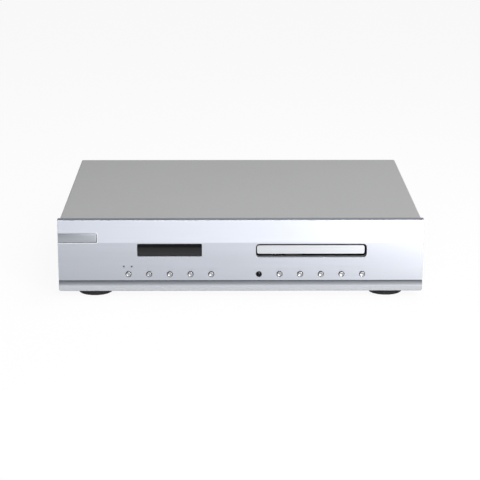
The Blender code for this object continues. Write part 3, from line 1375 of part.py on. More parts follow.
def make_traverse_frame():
    outline = rounded_rectangle(-TRAVERSE_HALF_WIDTH, TRAVERSE_HALF_WIDTH, TRAVERSE_FRONT,
                                TRAVERSE_REAR, TRAVERSE_CORNER)
    holes = [circle(0, 0, SPINDLE_RADIUS + SEAT_GAP, ROUND),
             rectangle(-BED_WINDOW_HALF, BED_WINDOW_HALF, BED_WINDOW_FRONT, BED_WINDOW_REAR),
             circle(SLED_GEAR_X, SLED_MOTOR_Y, MOTOR_SHAFT_RADIUS * 2)]
    bed = place("traverse_frame", extruded("bed", [outline] + holes, BED_BOTTOM, BED_TOP, "Z"),
                GREY_PLASTIC, TRAVERSE, (0, -PIVOT_Y, -PIVOT_Z))
    blocks = []
    for across in (-ROD_X, ROD_X):
        for front in (BED_WINDOW_FRONT - SEAT_GAP - BED_BLOCK_LENGTH,
                      BED_WINDOW_REAR + SEAT_GAP):
            blocks.append(((across - ROD_BLOCK_WIDTH / 2, front, BED_TOP - BITE),
                           (across + ROD_BLOCK_WIDTH / 2, front + BED_BLOCK_LENGTH,
                            BED_TOP + ROD_BLOCK_HEIGHT)))
    join(bed, boxes_mesh("rod_blocks", blocks))
    pin_foot = (SLED_GEAR_X, SLED_GEAR_Y, BED_TOP - BITE)
    join(bed, rods_mesh("gear_pin", [(pin_foot, SLED_PIN_RADIUS,
                                      sled_gear_top() - BED_TOP + BITE)]))
    join(bed, rods_mesh("gear_boss", [(pin_foot, SLED_PIN_RADIUS + SLED_PIN_BOSS,
                                       SLED_PINION_LIFT - SEAT_GAP + BITE)]))
    reach = TRAVERSE_HALF_WIDTH + PIVOT_OUT
    join(bed, rods_mesh("pivot_pins", [((-reach, PIVOT_Y, PIVOT_Z), PIVOT_RADIUS, 2 * reach)],
                        "X"))
    pin_front = SLIDER_FRONT - SEAT_GAP
    pins = [((across, pin_front, PIVOT_Z), CAM_PIN_RADIUS,
             TRAVERSE_FRONT - pin_front + CAM_PIN_RADIUS) for across in (-CAM_PIN_X, CAM_PIN_X)]
    join(bed, rods_mesh("cam_pins", pins, "Y"))
    cut(bed, rods_mesh("rod_holes", rod_lines(ROD_RADIUS + SEAT_GAP, OVERRUN), "Y"))


def rod_lines(radius, overrun=0):
    """The two guide rods' lines through the blocks that hold them."""
    front = BED_WINDOW_FRONT - SEAT_GAP - BED_BLOCK_LENGTH - overrun
    rear = BED_WINDOW_REAR + SEAT_GAP + BED_BLOCK_LENGTH + overrun
    return [((across, front, ROD_Z), radius, rear - front) for across in (-ROD_X, ROD_X)]


def make_guide_rods():
    for name, line in zip(("guide_rod_left", "guide_rod_right"), rod_lines(ROD_RADIUS)):
        place(name, rods_mesh(name, [line], "Y"), STEEL, TRAVERSE, (0, -PIVOT_Y, -PIVOT_Z))


def make_spindle_motor():
    rim_bottom = BED_TOP + SEAT_GAP
    top = rim_bottom + SPINDLE_RIM_THICKNESS
    bore = HUB_SHAFT_RADIUS + SEAT_GAP
    rim = SPINDLE_RADIUS + SPINDLE_RIM
    bottom = BED_BOTTOM - SPINDLE_BELOW
    bore_end = top - HUB_SHAFT_LENGTH - SEAT_GAP
    profile = [(0, bore_end), (bore, bore_end), (bore, top), (rim, top), (rim, rim_bottom),
               (SPINDLE_RADIUS, rim_bottom), (SPINDLE_RADIUS, bottom), (0, bottom)]
    place("spindle_motor", turned("spindle", profile, ROUND), STEEL, TRAVERSE,
          (0, -PIVOT_Y, -PIVOT_Z))


def make_turntable():
    top = PLATTER_TOP
    platter_bottom = top - PLATTER_THICKNESS
    motor_top = BED_TOP + SEAT_GAP + SPINDLE_RIM_THICKNESS
    neck_bottom = motor_top + SEAT_GAP
    profile = [(0, top + HUB_CONE_HEIGHT), (HUB_TIP_RADIUS, top + HUB_CONE_HEIGHT),
               (HUB_CONE_RADIUS, top + BITE), (HUB_CONE_RADIUS, top), (PLATTER_RADIUS, top),
               (PLATTER_RADIUS, platter_bottom), (HUB_NECK_RADIUS, platter_bottom),
               (HUB_NECK_RADIUS, neck_bottom), (HUB_SHAFT_RADIUS, neck_bottom),
               (HUB_SHAFT_RADIUS, motor_top - HUB_SHAFT_LENGTH), (0, motor_top
                                                                  - HUB_SHAFT_LENGTH)]
    place("turntable", turned("turntable", profile, ROUND), BLACK_PLASTIC, TRAVERSE,
          (0, -PIVOT_Y, -PIVOT_Z))


def sled_gear_top():
    return BED_TOP + SLED_PINION_LIFT + SLED_PINION_HEIGHT + SLED_WHEEL_HEIGHT


def make_pickup_sled():
    front = LENS_REST - SLED_LENGTH / 2
    rear = LENS_REST + SLED_LENGTH / 2
    bottom = BED_TOP - SLED_BOTTOM
    top = BED_TOP + SLED_TOP
    sled = place("pickup_sled", boxes_mesh("sled", [((-SLED_HALF_WIDTH, front, bottom),
                                                     (SLED_HALF_WIDTH, rear, top))]),
                 GREY_PLASTIC, TRAVERSE, (0, -PIVOT_Y, -PIVOT_Z))
    boss_low = bottom
    boss_high = top - SLED_BOSS_DROP
    for side in (-1, 1):
        reach = sorted((side * (SLED_HALF_WIDTH - BITE),
                        side * (SLED_HALF_WIDTH + SLED_BOSS_WIDTH)))
        join(sled, boxes_mesh("sled_boss", [((reach[0], front, boss_low),
                                             (reach[1], rear, boss_high))]))
    join(sled, boxes_mesh("actuator", [
        ((-ACTUATOR_WIDTH / 2, LENS_REST - ACTUATOR_WIDTH / 2, top - BITE),
         (ACTUATOR_WIDTH / 2, LENS_REST + ACTUATOR_WIDTH / 2, top + ACTUATOR_HEIGHT))]))
    rack_front = SLED_GEAR_Y - SLED_TRAVEL - (SLED_RACK_LENGTH - SLED_TRAVEL) / 2
    root_x = SLED_RACK_X - DEDENDUM_SHARE * SLED_MODULE
    rack_low = BED_TOP + SLED_RACK_LIFT
    outline = rack_outline(rack_front, rack_front + SLED_RACK_LENGTH, SLED_GEAR_Y, SLED_RACK_X,
                           root_x - SLED_RACK_BACK, SLED_MODULE)
    join(sled, extruded("sled_rack", [outline], rack_low, rack_low + SLED_RACK_HEIGHT, "Z"))
    arm_low = rack_low + BITE
    arm_high = rack_low + SLED_RACK_HEIGHT - BITE
    join(sled, boxes_mesh("rack_arm", [
        ((SLED_HALF_WIDTH + SLED_BOSS_WIDTH - BITE, front + BITE, arm_low),
         (root_x - SLED_RACK_BACK + BITE, rear - BITE, arm_high))]))
    rods = rod_lines(ROD_RADIUS + SEAT_GAP, OVERRUN)
    cut(sled, rods_mesh("sled_bores", rods, "Y"))


def make_pickup_lens():
    base = BED_TOP + SLED_TOP + ACTUATOR_HEIGHT + SEAT_GAP
    top = base + LENS_HEIGHT
    profile = [(0, top), (LENS_RADIUS * LENS_CROWN_SHARE, top - LENS_BASE / 2),
               (LENS_RADIUS, base + LENS_BASE / 2), (LENS_RADIUS, base), (0, base)]
    place("pickup_lens", turned("lens", profile, SMALL_ROUND), CLEAR_LENS, TRAVERSE,
          (0, LENS_REST - PIVOT_Y, -PIVOT_Z))


def make_sled_gear():
    low = BED_TOP + SLED_PINION_LIFT
    middle = low + SLED_PINION_HEIGHT
    bore_radius = SLED_PIN_RADIUS + SEAT_GAP
    wheel = gear_outline(SLED_WHEEL_TEETH, SLED_MODULE)
    pinion = gear_outline(SLED_PINION_TEETH, SLED_MODULE)
    gear = place("sled_gear", extruded("wheel", [wheel, circle(0, 0, bore_radius)], middle,
                                       sled_gear_top(), "Z"), WHITE_PLASTIC, TRAVERSE,
                 (SLED_GEAR_X, SLED_GEAR_Y - PIVOT_Y, -PIVOT_Z))
    join(gear, extruded("pinion", [pinion, circle(0, 0, bore_radius)], low, middle + BITE, "Z"))


def make_sled_motor():
    top = BED_BOTTOM - SEAT_GAP
    profile = motor_profile(SLED_MOTOR_RADIUS, top, SLED_MOTOR_HEIGHT, MOTOR_SHAFT_LENGTH)
    place("sled_motor", turned("sled_motor", profile, ROUND), STEEL, TRAVERSE,
          (SLED_GEAR_X, SLED_MOTOR_Y - PIVOT_Y, -PIVOT_Z))


def make_sled_motor_pinion():
    """The pinion and the motor shaft that it is pressed on."""
    top = sled_gear_top()
    low = top - SLED_WHEEL_HEIGHT
    shaft_bottom = BED_BOTTOM - MOTOR_SHAFT_LENGTH + SEAT_GAP
    outline = gear_outline(SLED_MOTOR_TEETH, SLED_MODULE, pi / SLED_MOTOR_TEETH)
    pinion = place("sled_motor_pinion", extruded("motor_teeth", [outline], low, top, "Z"),
                   WHITE_PLASTIC, TRAVERSE, (SLED_GEAR_X, SLED_MOTOR_Y - PIVOT_Y, -PIVOT_Z))
    join(pinion, rods_mesh("motor_shaft", [((0, 0, shaft_bottom), MOTOR_SHAFT_RADIUS,
                                            low - shaft_bottom + BITE)], "Z",
                           TINY_ROUND))


# Power supply and boards

def make_transformer():
    bottom = BASE_TOP + SEAT_GAP
    top = bottom + CORE_HEIGHT
    outer = CORE_RADIUS - CORE_ROUND
    inner = CORE_HOLE_RADIUS + CORE_ROUND
    profile = []
    for middle_x, middle_z, start in ((outer, top - CORE_ROUND, 1),
                                      (outer, bottom + CORE_ROUND, 0),
                                      (inner, bottom + CORE_ROUND, -1),
                                      (inner, top - CORE_ROUND, -2)):
        profile += arc(middle_x, middle_z, CORE_ROUND, start, start - 1, CORNER_STEPS // 2)
    place("transformer", turned("core", profile, ROUND, closed=True), TAPE, CASEWORK,
          (CORE_X, CORE_Y, 0))


def make_transformer_clamp():
    """The dished washer and its bolt, which reaches down to the base."""
    seat = BASE_TOP + SEAT_GAP + CORE_HEIGHT + SEAT_GAP
    top = seat + CLAMP_SHEET
    dish = seat - CLAMP_DISH
    inner = CORE_HOLE_RADIUS - SEAT_GAP
    profile = [(0, dish + CLAMP_SHEET + CLAMP_NUT_HEIGHT),
               (CLAMP_NUT_RADIUS, dish + CLAMP_SHEET + CLAMP_NUT_HEIGHT),
               (CLAMP_NUT_RADIUS, dish + CLAMP_SHEET), (inner - CLAMP_SHEET, dish
                                                        + CLAMP_SHEET),
               (inner, top), (CLAMP_RADIUS, top), (CLAMP_RADIUS, seat),
               (inner, seat), (inner - CLAMP_SHEET, dish), (CLAMP_BOLT_RADIUS, dish),
               (CLAMP_BOLT_RADIUS, BASE_TOP + SEAT_GAP), (0, BASE_TOP + SEAT_GAP)]
    place("transformer_clamp", turned("clamp", profile, ROUND), STEEL, CASEWORK,
          (CORE_X, CORE_Y, 0))


def make_main_board():
    board = place("main_board", boxes_mesh("main", [
        ((MAIN_LEFT_X, BOARD_FRONT_Y, BOARD_BOTTOM), (MAIN_RIGHT_X, BOARD_REAR_Y, BOARD_TOP))]),
        BOARD_GREEN, CASEWORK)
    left = RIBBON_X - RIBBON_WIDTH / 2
    right = RIBBON_X + RIBBON_WIDTH / 2
    parts = [((left, BOARD_FRONT_Y, BOARD_TOP - BITE),
              (right, BOARD_FRONT_Y + HEADER_DEPTH, BOARD_TOP + HEADER_HEIGHT))]
    socket_front = REAR_FACE - REAR_SHEET - SEAT_GAP - SOCKET_BLOCK_DEPTH
    rows_depth = SMALL_CAPACITOR_PITCH * CAN_ROWS
    chip_y = (BOARD_FRONT_Y + HEADER_DEPTH + socket_front - rows_depth - CHIP_WIDTH) / 2
    for across in (OUTPUT_RIGHT_X, OUTPUT_LEFT_X, DIGITAL_X):
        parts.append(((across - CHIP_LENGTH / 2, chip_y, BOARD_TOP - BITE),
                      (across + CHIP_LENGTH / 2, chip_y + CHIP_WIDTH, BOARD_TOP + CHIP_HEIGHT)))
    join(board, boxes_mesh("chips", parts))
    cans = []
    for column in range(SMALL_CAN_COLUMNS):
        for row in range(CAN_ROWS):
            cans.append(((OUTPUT_RIGHT_X + SMALL_CAPACITOR_PITCH * column,
                          chip_y + CHIP_WIDTH + SMALL_CAPACITOR_PITCH * (row + 1 / 2),
                          BOARD_TOP - BITE),
                         SMALL_CAPACITOR_RADIUS, SMALL_CAPACITOR_HEIGHT + BITE))
    join(board, rods_mesh("cans", cans, "Z", TINY_ROUND))


def make_power_board():
    board = place("power_board", boxes_mesh("power", [
        ((POWER_LEFT_X, BOARD_FRONT_Y, BOARD_BOTTOM),
         (POWER_RIGHT_X, BOARD_REAR_Y, BOARD_TOP))]), BOARD_GREEN, CASEWORK)
    cans = []
    columns = int((POWER_RIGHT_X - POWER_LEFT_X - CAPACITOR_RADIUS) / CAPACITOR_PITCH)
    first_x = POWER_X - CAPACITOR_PITCH * (columns - 1) / 2
    for column in range(columns):
        for row in range(CAN_ROWS):
            cans.append(((first_x + CAPACITOR_PITCH * column,
                          BOARD_FRONT_Y + CAN_MARGIN + CAPACITOR_PITCH * row,
                          BOARD_TOP - BITE),
                         CAPACITOR_RADIUS, CAPACITOR_HEIGHT + BITE))
    join(board, rods_mesh("reservoirs", cans))


def make_heat_sink():
    left = POWER_LEFT_X + SINK_MARGIN
    length = POWER_RIGHT_X - SINK_MARGIN - left
    pitch = (length - SINK_FIN) / (SINK_FINS - 1)
    back = SINK_Y + SINK_BACK
    outline = [(left, SINK_Y), (left + length, SINK_Y)]
    for fin in reversed(range(SINK_FINS)):
        start = left + pitch * fin
        outline.append((start + SINK_FIN, back if fin < SINK_FINS - 1 else back + SINK_FIN_DEPTH))
        if fin < SINK_FINS - 1:
            outline.append((start + SINK_FIN, back + SINK_FIN_DEPTH))
        outline.append((start, back + SINK_FIN_DEPTH))
        if fin > 0:
            outline.append((start, back))
    base = BOARD_TOP + SEAT_GAP
    place("heat_sink", extruded("sink", [outline], base, base + SINK_HEIGHT, "Z"),
          BLACK_PLASTIC, CASEWORK)


def ribbon_path():
    """The ribbon's middle line: out of one header, along above the base, into the other."""
    start = CONTROL_BACK + HEADER_DEPTH + SEAT_GAP
    end = BOARD_FRONT_Y - SEAT_GAP
    low = BASE_TOP + RIBBON_LIFT
    front_z = CONTROL_BOTTOM + HEADER_HEIGHT / 2
    rear_z = BOARD_TOP + HEADER_HEIGHT / 2
    points = [(start, front_z)]
    for step in range(RIBBON_STEPS + 1):
        swing = (1 - cos(pi * step / RIBBON_STEPS)) / 2
        depth = start + RIBBON_STUB + RIBBON_BEND * step / RIBBON_STEPS
        points.append((depth, front_z + (low - front_z) * swing))
    for step in range(RIBBON_STEPS + 1):
        swing = (1 - cos(pi * step / RIBBON_STEPS)) / 2
        depth = end - RIBBON_STUB - RIBBON_BEND * (1 - step / RIBBON_STEPS)
        points.append((depth, low + (rear_z - low) * swing))
    points.append((end, rear_z))
    return points


def make_ribbon_cable():
    path = [Vector(point) for point in ribbon_path()]
    left_side, right_side = [], []
    for index, point in enumerate(path):
        before = path[max(index - 1, 0)]
        after = path[min(index + 1, len(path) - 1)]
        along = (after - before).normalized()
        across = Vector((-along.y, along.x)) * RIBBON_THICKNESS / 2
        left_side.append(tuple(point + across))
        right_side.append(tuple(point - across))
    half = RIBBON_WIDTH / 2 - SEAT_GAP
    place("ribbon_cable", extruded("ribbon", [left_side + right_side[::-1]], RIBBON_X - half,
                                   RIBBON_X + half, "X"), RIBBON_GREY, CASEWORK)


# Rear sockets and mains switch

def make_barrel_socket(name, across, finish):
    """A pin socket: a bored barrel through the rear panel and its block on the board."""
    inside = REAR_FACE - REAR_SHEET - SEAT_GAP
    tip = REAR_FACE + SOCKET_REACH
    thread_end = REAR_FACE + BARREL_THREAD_LENGTH
    profile = [(0, tip - BARREL_BORE_DEPTH), (BARREL_BORE_RADIUS, tip - BARREL_BORE_DEPTH),
               (BARREL_BORE_RADIUS, tip), (BARREL_RADIUS, tip), (BARREL_RADIUS, thread_end),
               (BARREL_THREAD_RADIUS, thread_end), (BARREL_THREAD_RADIUS, inside - BITE),
               (0, inside - BITE)]
    socket = place(name, turned("barrel", profile, SMALL_ROUND, "Y"), finish, CASEWORK,
                   (across, 0, SOCKET_Z))
    half = SOCKET_BLOCK_WIDTH / 2
    join(socket, boxes_mesh("block", [
        ((-half, inside - SOCKET_BLOCK_DEPTH, BOARD_TOP + SEAT_GAP - SOCKET_Z),
         (half, inside, SOCKET_BLOCK_TOP - SOCKET_Z))]))


def make_optical_socket():
    inside = REAR_FACE - REAR_SHEET - SEAT_GAP
    face = REAR_FACE + OPTICAL_PROUD
    half = OPTICAL_SIZE / 2
    socket = place("optical_socket", boxes_mesh("optical", [
        ((-half, inside - BITE, -half), (half, face, half))]), BLACK_PLASTIC, CASEWORK,
        (OPTICAL_X, 0, SOCKET_Z))
    block = SOCKET_BLOCK_WIDTH / 2
    join(socket, boxes_mesh("optical_block", [
        ((-block, inside - SOCKET_BLOCK_DEPTH, BOARD_TOP + SEAT_GAP - SOCKET_Z),
         (block, inside, SOCKET_BLOCK_TOP - SOCKET_Z))]))
    reach = OPTICAL_RECESS_SIZE / 2
    cut(socket, boxes_mesh("shutter", [((-reach, face - OPTICAL_RECESS, -reach),
                                        (reach, face + OVERRUN, reach))]))


def make_mains_inlet():
    flange_back = REAR_FACE + SEAT_GAP
    face = flange_back + INLET_FLANGE_THICKNESS
    flange = centred_rectangle(0, 0, INLET_FLANGE_WIDTH, INLET_FLANGE_HEIGHT, INLET_CORNER)
    body = centred_rectangle(0, 0, INLET_WIDTH, INLET_HEIGHT)
    cavity = centred_rectangle(0, 0, CAVITY_WIDTH, CAVITY_HEIGHT, INLET_CORNER)
    inlet = place("mains_inlet", extruded("inlet_flange", [flange], flange_back, face, "Y"),
                  BLACK_PLASTIC, CASEWORK, (INLET_X, 0, INLET_Z))
    join(inlet, extruded("inlet_body", [body], face - INLET_DEPTH - INLET_FLANGE_THICKNESS,
                         flange_back + BITE, "Y"))
    cavity_floor = face - CAVITY_DEPTH
    cut(inlet, extruded("inlet_cavity", [cavity], cavity_floor, face + OVERRUN, "Y"))
    half = PIN_THICKNESS / 2
    pins = []
    for across, up in ((-PIN_SPACING, -PIN_OFFSET), (0, PIN_OFFSET), (PIN_SPACING, -PIN_OFFSET)):
        pins.append(((across - half, cavity_floor - BITE, up - PIN_HEIGHT / 2),
                     (across + half, face - PIN_SETBACK, up + PIN_HEIGHT / 2)))
    join(inlet, boxes_mesh("inlet_pins", pins))


def make_power_switch():
    flange_back = REAR_FACE + SEAT_GAP
    face = flange_back + ROCKER_FLANGE_THICKNESS
    flange = centred_rectangle(0, 0, ROCKER_FLANGE_WIDTH, ROCKER_FLANGE_HEIGHT, BADGE_CORNER)
    body = centred_rectangle(0, 0, ROCKER_BODY_WIDTH, ROCKER_BODY_HEIGHT)
    switch = place("power_switch", extruded("switch_flange", [flange], flange_back, face, "Y"),
                   BLACK_PLASTIC, CASEWORK, (SWITCH_X, 0, INLET_Z))
    join(switch, extruded("switch_body", [body], face - ROCKER_BODY_DEPTH,
                          flange_back + BITE, "Y"))
    cavity = centred_rectangle(0, 0, ROCKER_CAVITY_WIDTH, ROCKER_CAVITY_HEIGHT)
    cut(switch, extruded("switch_cavity", [cavity], face - ROCKER_CAVITY_DEPTH,
                         face + OVERRUN, "Y"))


def make_power_rocker():
    """The rocker about its own pivot line, at rest with its lower half pressed."""
    face = REAR_FACE + SEAT_GAP + ROCKER_FLANGE_THICKNESS
    pivot_y = face - ROCKER_PIVOT_SETBACK - ROCKER_BACK - SEAT_GAP
    outline = [(ROCKER_PROUD, -ROCKER_HALF_HEIGHT), (ROCKER_PROUD - ROCKER_DIP, 0),
               (ROCKER_PROUD, ROCKER_HALF_HEIGHT), (ROCKER_SIDE, ROCKER_HALF_HEIGHT),
               (-ROCKER_BACK, ROCKER_BACK), (-ROCKER_BACK, -ROCKER_BACK),
               (ROCKER_SIDE, -ROCKER_HALF_HEIGHT)]
    half = ROCKER_CAVITY_WIDTH / 2 - SEAT_GAP
    place("power_rocker", extruded("rocker", [outline], -half, half, "X"), GREY_PLASTIC,
          CASEWORK, (SWITCH_X, pivot_y, INLET_Z), (radians(-ROCKER_TILT_DEGREES), 0, 0))


def build():
    make_front_panel()
    make_badge_plate()
    make_display()
    make_buttons()
    make_receiver()
    make_indicators()
    make_control_board()
    make_top_cover()
    make_chassis_base()
    make_rear_panel()
    make_feet()
    make_disc_tray()
    make_tray_front()
    make_tray_gear()
    make_pulley_gear()
    make_motor_pulley()
    make_drive_belt()
    make_loader_motor()
    make_loader_frame()
    make_clamp_bridge()
    make_clamp_puck()
    make_lift_slider()
    make_traverse_frame()
    make_guide_rods()
    make_spindle_motor()
    make_turntable()
    make_pickup_sled()
    make_pickup_lens()
    make_sled_gear()
    make_sled_motor()
    make_sled_motor_pinion()
    make_transformer()
    make_transformer_clamp()
    make_main_board()
    make_power_board()
    make_heat_sink()
    make_ribbon_cable()
    make_barrel_socket("output_socket_right", OUTPUT_RIGHT_X, GOLD)
    make_barrel_socket("output_socket_left", OUTPUT_LEFT_X, GOLD)
    make_barrel_socket("digital_socket", DIGITAL_X, GOLD)
    make_optical_socket()
    make_mains_inlet()
    make_power_switch()
    make_power_rocker()
    shade_joined_pieces()


clear_scene()
PARTS = new_collection("disc_player")
CUTTERS = new_collection("cutters")
CASEWORK = empty("casework", None, (0, FACE_Y, FOOT_HEIGHT))
LOADER = empty("loader", CASEWORK, (TRAY_X, DISC_Y, 0))
TRAVERSE = empty("traverse_pivot", LOADER, (0, PIVOT_Y, PIVOT_Z))
build()
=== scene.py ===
"""The looks of the disc player: finishes, small fittings, light, floor and camera.

Metres, +Z up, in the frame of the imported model. The casework's own measures, such as the
places of its screws, are counted across from its middle, back from the panel's face and up
from the panel's lower edge.
"""

from math import cos, pi, radians, sin

import bmesh
import bpy
from mathutils import Matrix, Vector


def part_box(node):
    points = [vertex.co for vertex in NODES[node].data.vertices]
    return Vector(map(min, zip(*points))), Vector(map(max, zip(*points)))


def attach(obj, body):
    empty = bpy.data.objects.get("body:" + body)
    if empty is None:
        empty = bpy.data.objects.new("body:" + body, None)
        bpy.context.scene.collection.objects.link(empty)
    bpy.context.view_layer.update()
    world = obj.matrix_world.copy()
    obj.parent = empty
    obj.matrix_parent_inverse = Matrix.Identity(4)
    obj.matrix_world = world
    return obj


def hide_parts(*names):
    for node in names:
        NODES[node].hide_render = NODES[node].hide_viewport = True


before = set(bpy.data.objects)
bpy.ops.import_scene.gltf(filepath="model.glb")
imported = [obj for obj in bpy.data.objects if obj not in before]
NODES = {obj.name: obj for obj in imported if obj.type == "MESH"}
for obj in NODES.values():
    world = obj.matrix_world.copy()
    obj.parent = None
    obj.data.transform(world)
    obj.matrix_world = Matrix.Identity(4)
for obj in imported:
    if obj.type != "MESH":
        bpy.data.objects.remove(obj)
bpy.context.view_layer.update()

# Places read from the frame
FACE_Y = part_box("front_panel")[0].y
FOOT_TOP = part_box("front_panel")[0].z
REAR_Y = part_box("rear_panel")[1].y
COVER_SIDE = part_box("top_cover")[1].x
BASE_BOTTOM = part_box("chassis_base")[0].z
BOARD_THICKNESS = 0.0016
BOARD_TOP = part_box("main_board")[0].z + BOARD_THICKNESS

# Roundness of the turned pieces
SIDES = 48
FEW_SIDES = 20
MARK_SIDES = 32
ROUNDING_STEPS = 8
CORNER_STEPS = 6

# Zones of the panel, counted up from its lower edge, and its ends
BAND_HEIGHT = 0.0605
GROOVE_TOP = 0.0133
GROOVE_LOW = 0.0059
LIP_TOP = 0.0062
RIM_HEIGHT = 0.0009
ENDS_X = 0.219

# Buttons, and the collars in their holes
BUTTON_NUMBERS = range(1, 11)
BUTTON_RADIUS = 0.0033
BUTTON_RIM = 0.0009
BUTTON_DISH = 0.00036
STEM_RADIUS = 0.0016
FLANGE_DEPTH = 0.0103
COLLAR_FACE = 0.0010
COLLAR_RADII = (0.00365, 0.00395)
COLLAR_DEPTH = 0.0008
MOUTH_DEPTH = 0.0003
MOUTH_EDGE = 0.00005
MOUTH_HEIGHTS = (0.00003, 0.00001)
RECEIVER_RADIUS = 0.0034
RECEIVER_DOME = 0.0011
RECEIVER_COLLAR_RADII = (0.0035, 0.0040)

# The display's pane
PANE_X = (-0.1244, -0.0470)
PANE_UP = (0.0434, 0.0589)
PANE_EDGE = 0.0018
PANE_CROWN = 0.0012
PANE_CORNER = 0.0012
PANE_BACK = 0.0095
PANE_ROWS = 16
PANE_COLUMNS = 12
FLANGE_FACE = 0.0094
FLANGE_BEVEL = 0.0002

# The badge plate's place
SEAT_GAP = 0.0003
BADGE_CORNER = 0.0012
# width of the painted shadow strip along the badge's lower and right edges
BADGE_SHADOW_WIDTH = 0.0004
BADGE_BEVEL = 0.00018
STRIP_CROWN = 0.00008
STRIP_BACK = 0.0006
STRIP_PLAY = 0.00003
SHADOW_STRIP_DEPTH = 0.0001
POCKET_EDGE = (0.00002, 0.0008)

# Screws: radius and height of their heads, and their places
COVER_SCREW = (0.0031, 0.0016)
COVER_SCREW_UP = 0.0065
COVER_SCREW_DEPTHS = (0.034, 0.172, 0.318)
REAR_SCREW = (0.0028, 0.0015)
REAR_SCREW_PLACES = ((-0.208, 0.008), (0.208, 0.008), (-0.208, 0.080), (0.208, 0.080),
                     (-0.06, 0.080), (0.06, 0.080), (-0.06, 0.008), (0.075, 0.052),
                     (0.154, 0.046))
BASE_SCREW = (0.0027, 0.0014)
BASE_SCREW_INSET = 0.006
LOADER_SCREW_DEPTHS = (0.036, 0.166)
FOOT_SCREW = (0.0036, 0.0012)
FOOT_SCREW_SINK = 0.0016
HEAD_STEPS = 4
CROWN_SHARE = 0.28
WALL_SHARE = 0.35
ARM_SHARE = 0.52
ARM_HALF_SHARE = 0.11
RECESS_SHARE = 0.8

# Rear fittings
SOCKET_UP = 0.030
SOCKET_COLLAR = ((0.00475, 0), (0.00475, 0.0016), (0.0051, 0.0018), (0.0062, 0.0018),
                 (0.0066, 0.0014), (0.0066, 0))
MOUTH_SINK = 0.0003
INSULATOR = ((0.00095, -0.006), (0.00095, -0.0002), (0.0011, 0), (0.00168, 0),
             (0.00168, -0.006))
PIN_PLACES = ((-0.007, -0.002), (0, 0.002), (0.007, -0.002))
PIN_HALVES = (0.00105, 0.00205)
PIN_DEPTHS = (0.0168, 0.0024)
PIN_BEVEL = 0.0004
SHUTTER_HALF = 0.0027
SHUTTER_SINK = 0.001
SHUTTER_THICKNESS = 0.0006
HINGE_THICKNESS = 0.0009
HINGE_UP = (0.0021, 0.0029)
SHUTTER_BEVELS = (0.00025, 0.0002)
LINE_HALVES = (0.0004, 0.0016)
CIRCLE_RADII = (0.0010, 0.0015)
ROCKER_FACE_LIMIT = 0.8
ROCKER_HALF_LIMIT = 0.02
MARK_SINK = 0.0002
MARK_PROUD = 0.00005
MARK_BEVEL = 0.00004

# Camera, fitted to the edges of the panel and the cover
CAMERA_PLACE = (-0.01953, -2.14091, 0.59728)
CAMERA_PITCH = 14.904
CAMERA_YAW = 0.544
CAMERA_ROLL = 0.0585
CAMERA_LENS = 126.92
SENSOR = 36

# Studio: the radiance of the room by direction
WORLD_LEFT = (0.05, 0.055, 0.065)
WORLD_RIGHT = (0.60, 0.60, 0.61)
WORLD_BACK = (0.38, 0.39, 0.40)
WORLD_ABOVE = (0.25, 0.25, 0.25)
WORLD_TURN = (0.0, 0.26)
WORLD_DEPTH = (-0.25, 0.1)
WORLD_RISE = (0.35, 0.75)

# Floor: its half size, its paper's tone and its share of plain white
FLOOR_HALF = 9
FLOOR_PAPER = 0.92
FLOOR_WHITE = 0.91

# Lamps: place, target, width, height, power and colour
LAMPS = {
    "overhead": ((0.30, 0.25, 1.2), (0.0, 0.1, 0.0), 1.3, 0.4, 5, (1, 1, 1)),
    "front": ((0.40, -2.3, 1.30), (0.0, FACE_Y, 0.05), 2.2, 1.0, 67, (1, 1, 1)),
    "side": ((0.80, -2.2, 0.22), (0.0, FACE_Y, 0.05), 0.7, 0.36, 21, (1.0, 0.975, 0.93)),
}

# Finishes: radii of worn and softened edges, and depths of relief
WORN_EDGE = 0.0004
SOFT_EDGE = 0.0003
FINE_EDGE = 0.0002
PAINT_EDGE = 0.0005
STROKE_EDGE = 0.00025
STROKE_DEPTH = 0.000006
CUT_DEPTH = 0.000004
FINE_DEPTH = 0.00001
MOULD_DEPTH = 0.00002
RUBBER_DEPTH = 0.00005
PAINT_DEPTH = 0.00003
FLOW_DEPTH = 0.00004
TAPE_DEPTH = 0.0004
WIRE_DEPTH = 0.0002

# Finishes: scales of their patterns, per metre
STROKES = (12.0, 900.0, 2600.0)
FINE_STROKES = (60.0, 2400.0, 5200.0)
BAND_STRETCH = 40
SMEAR_SCALE = 420.0
MOULD_SCALE = 2600.0
CLOUD_SCALE = 24.0
PAINT_SCALE = 1500.0
FLOW_SCALE = 260.0
SHEET_SCALE = 7.0
CRYSTAL_SCALE = 170.0
ZINC_SCALE = 900.0
DUST_SCALE = 3200.0
DUST_SPAN = (0.55, 0.8)
WAVE_SCALE = 60.0
MASK_SCALE = 1800.0
TRACK_SCALE = 60.0
PAD_SCALE = 420.0
TAPE_SCALE = 40.0
CABLE_SCALE = 50.0
TAPE_TURNS = 34
WIRE_PITCH = 0.00127

# The panel's tones, the painted shade of its groove and lower face, and its satin zones
ALUMINIUM = (0.485, 0.506, 0.562)
MILLED = (0.33, 0.335, 0.345)
# painted shade at the top of the groove, fading down to the lip's tone
GROOVE_PAINTED_SHADE = (0.040, 0.047, 0.060)
LIP = (0.392, 0.407, 0.442)
GROOVE_SHADE_FALL = 2.3
# share of painted shade that darkens the panel's lower face
LOWER_PAINTED_SHADE = 0.175
SATIN_METAL = 0.15
RIM_ROUGHNESS = 0.18
RIM_GRAIN = 0.2
GRAIN_ROUGHNESS = 0.08
WALL_LIMIT = 0.6
FACE_SWEEP = (0.0, 0.12)
LIP_SWEEP = 0.4

# Tones shared by other finishes
BRIGHT = (0.40, 0.41, 0.43)
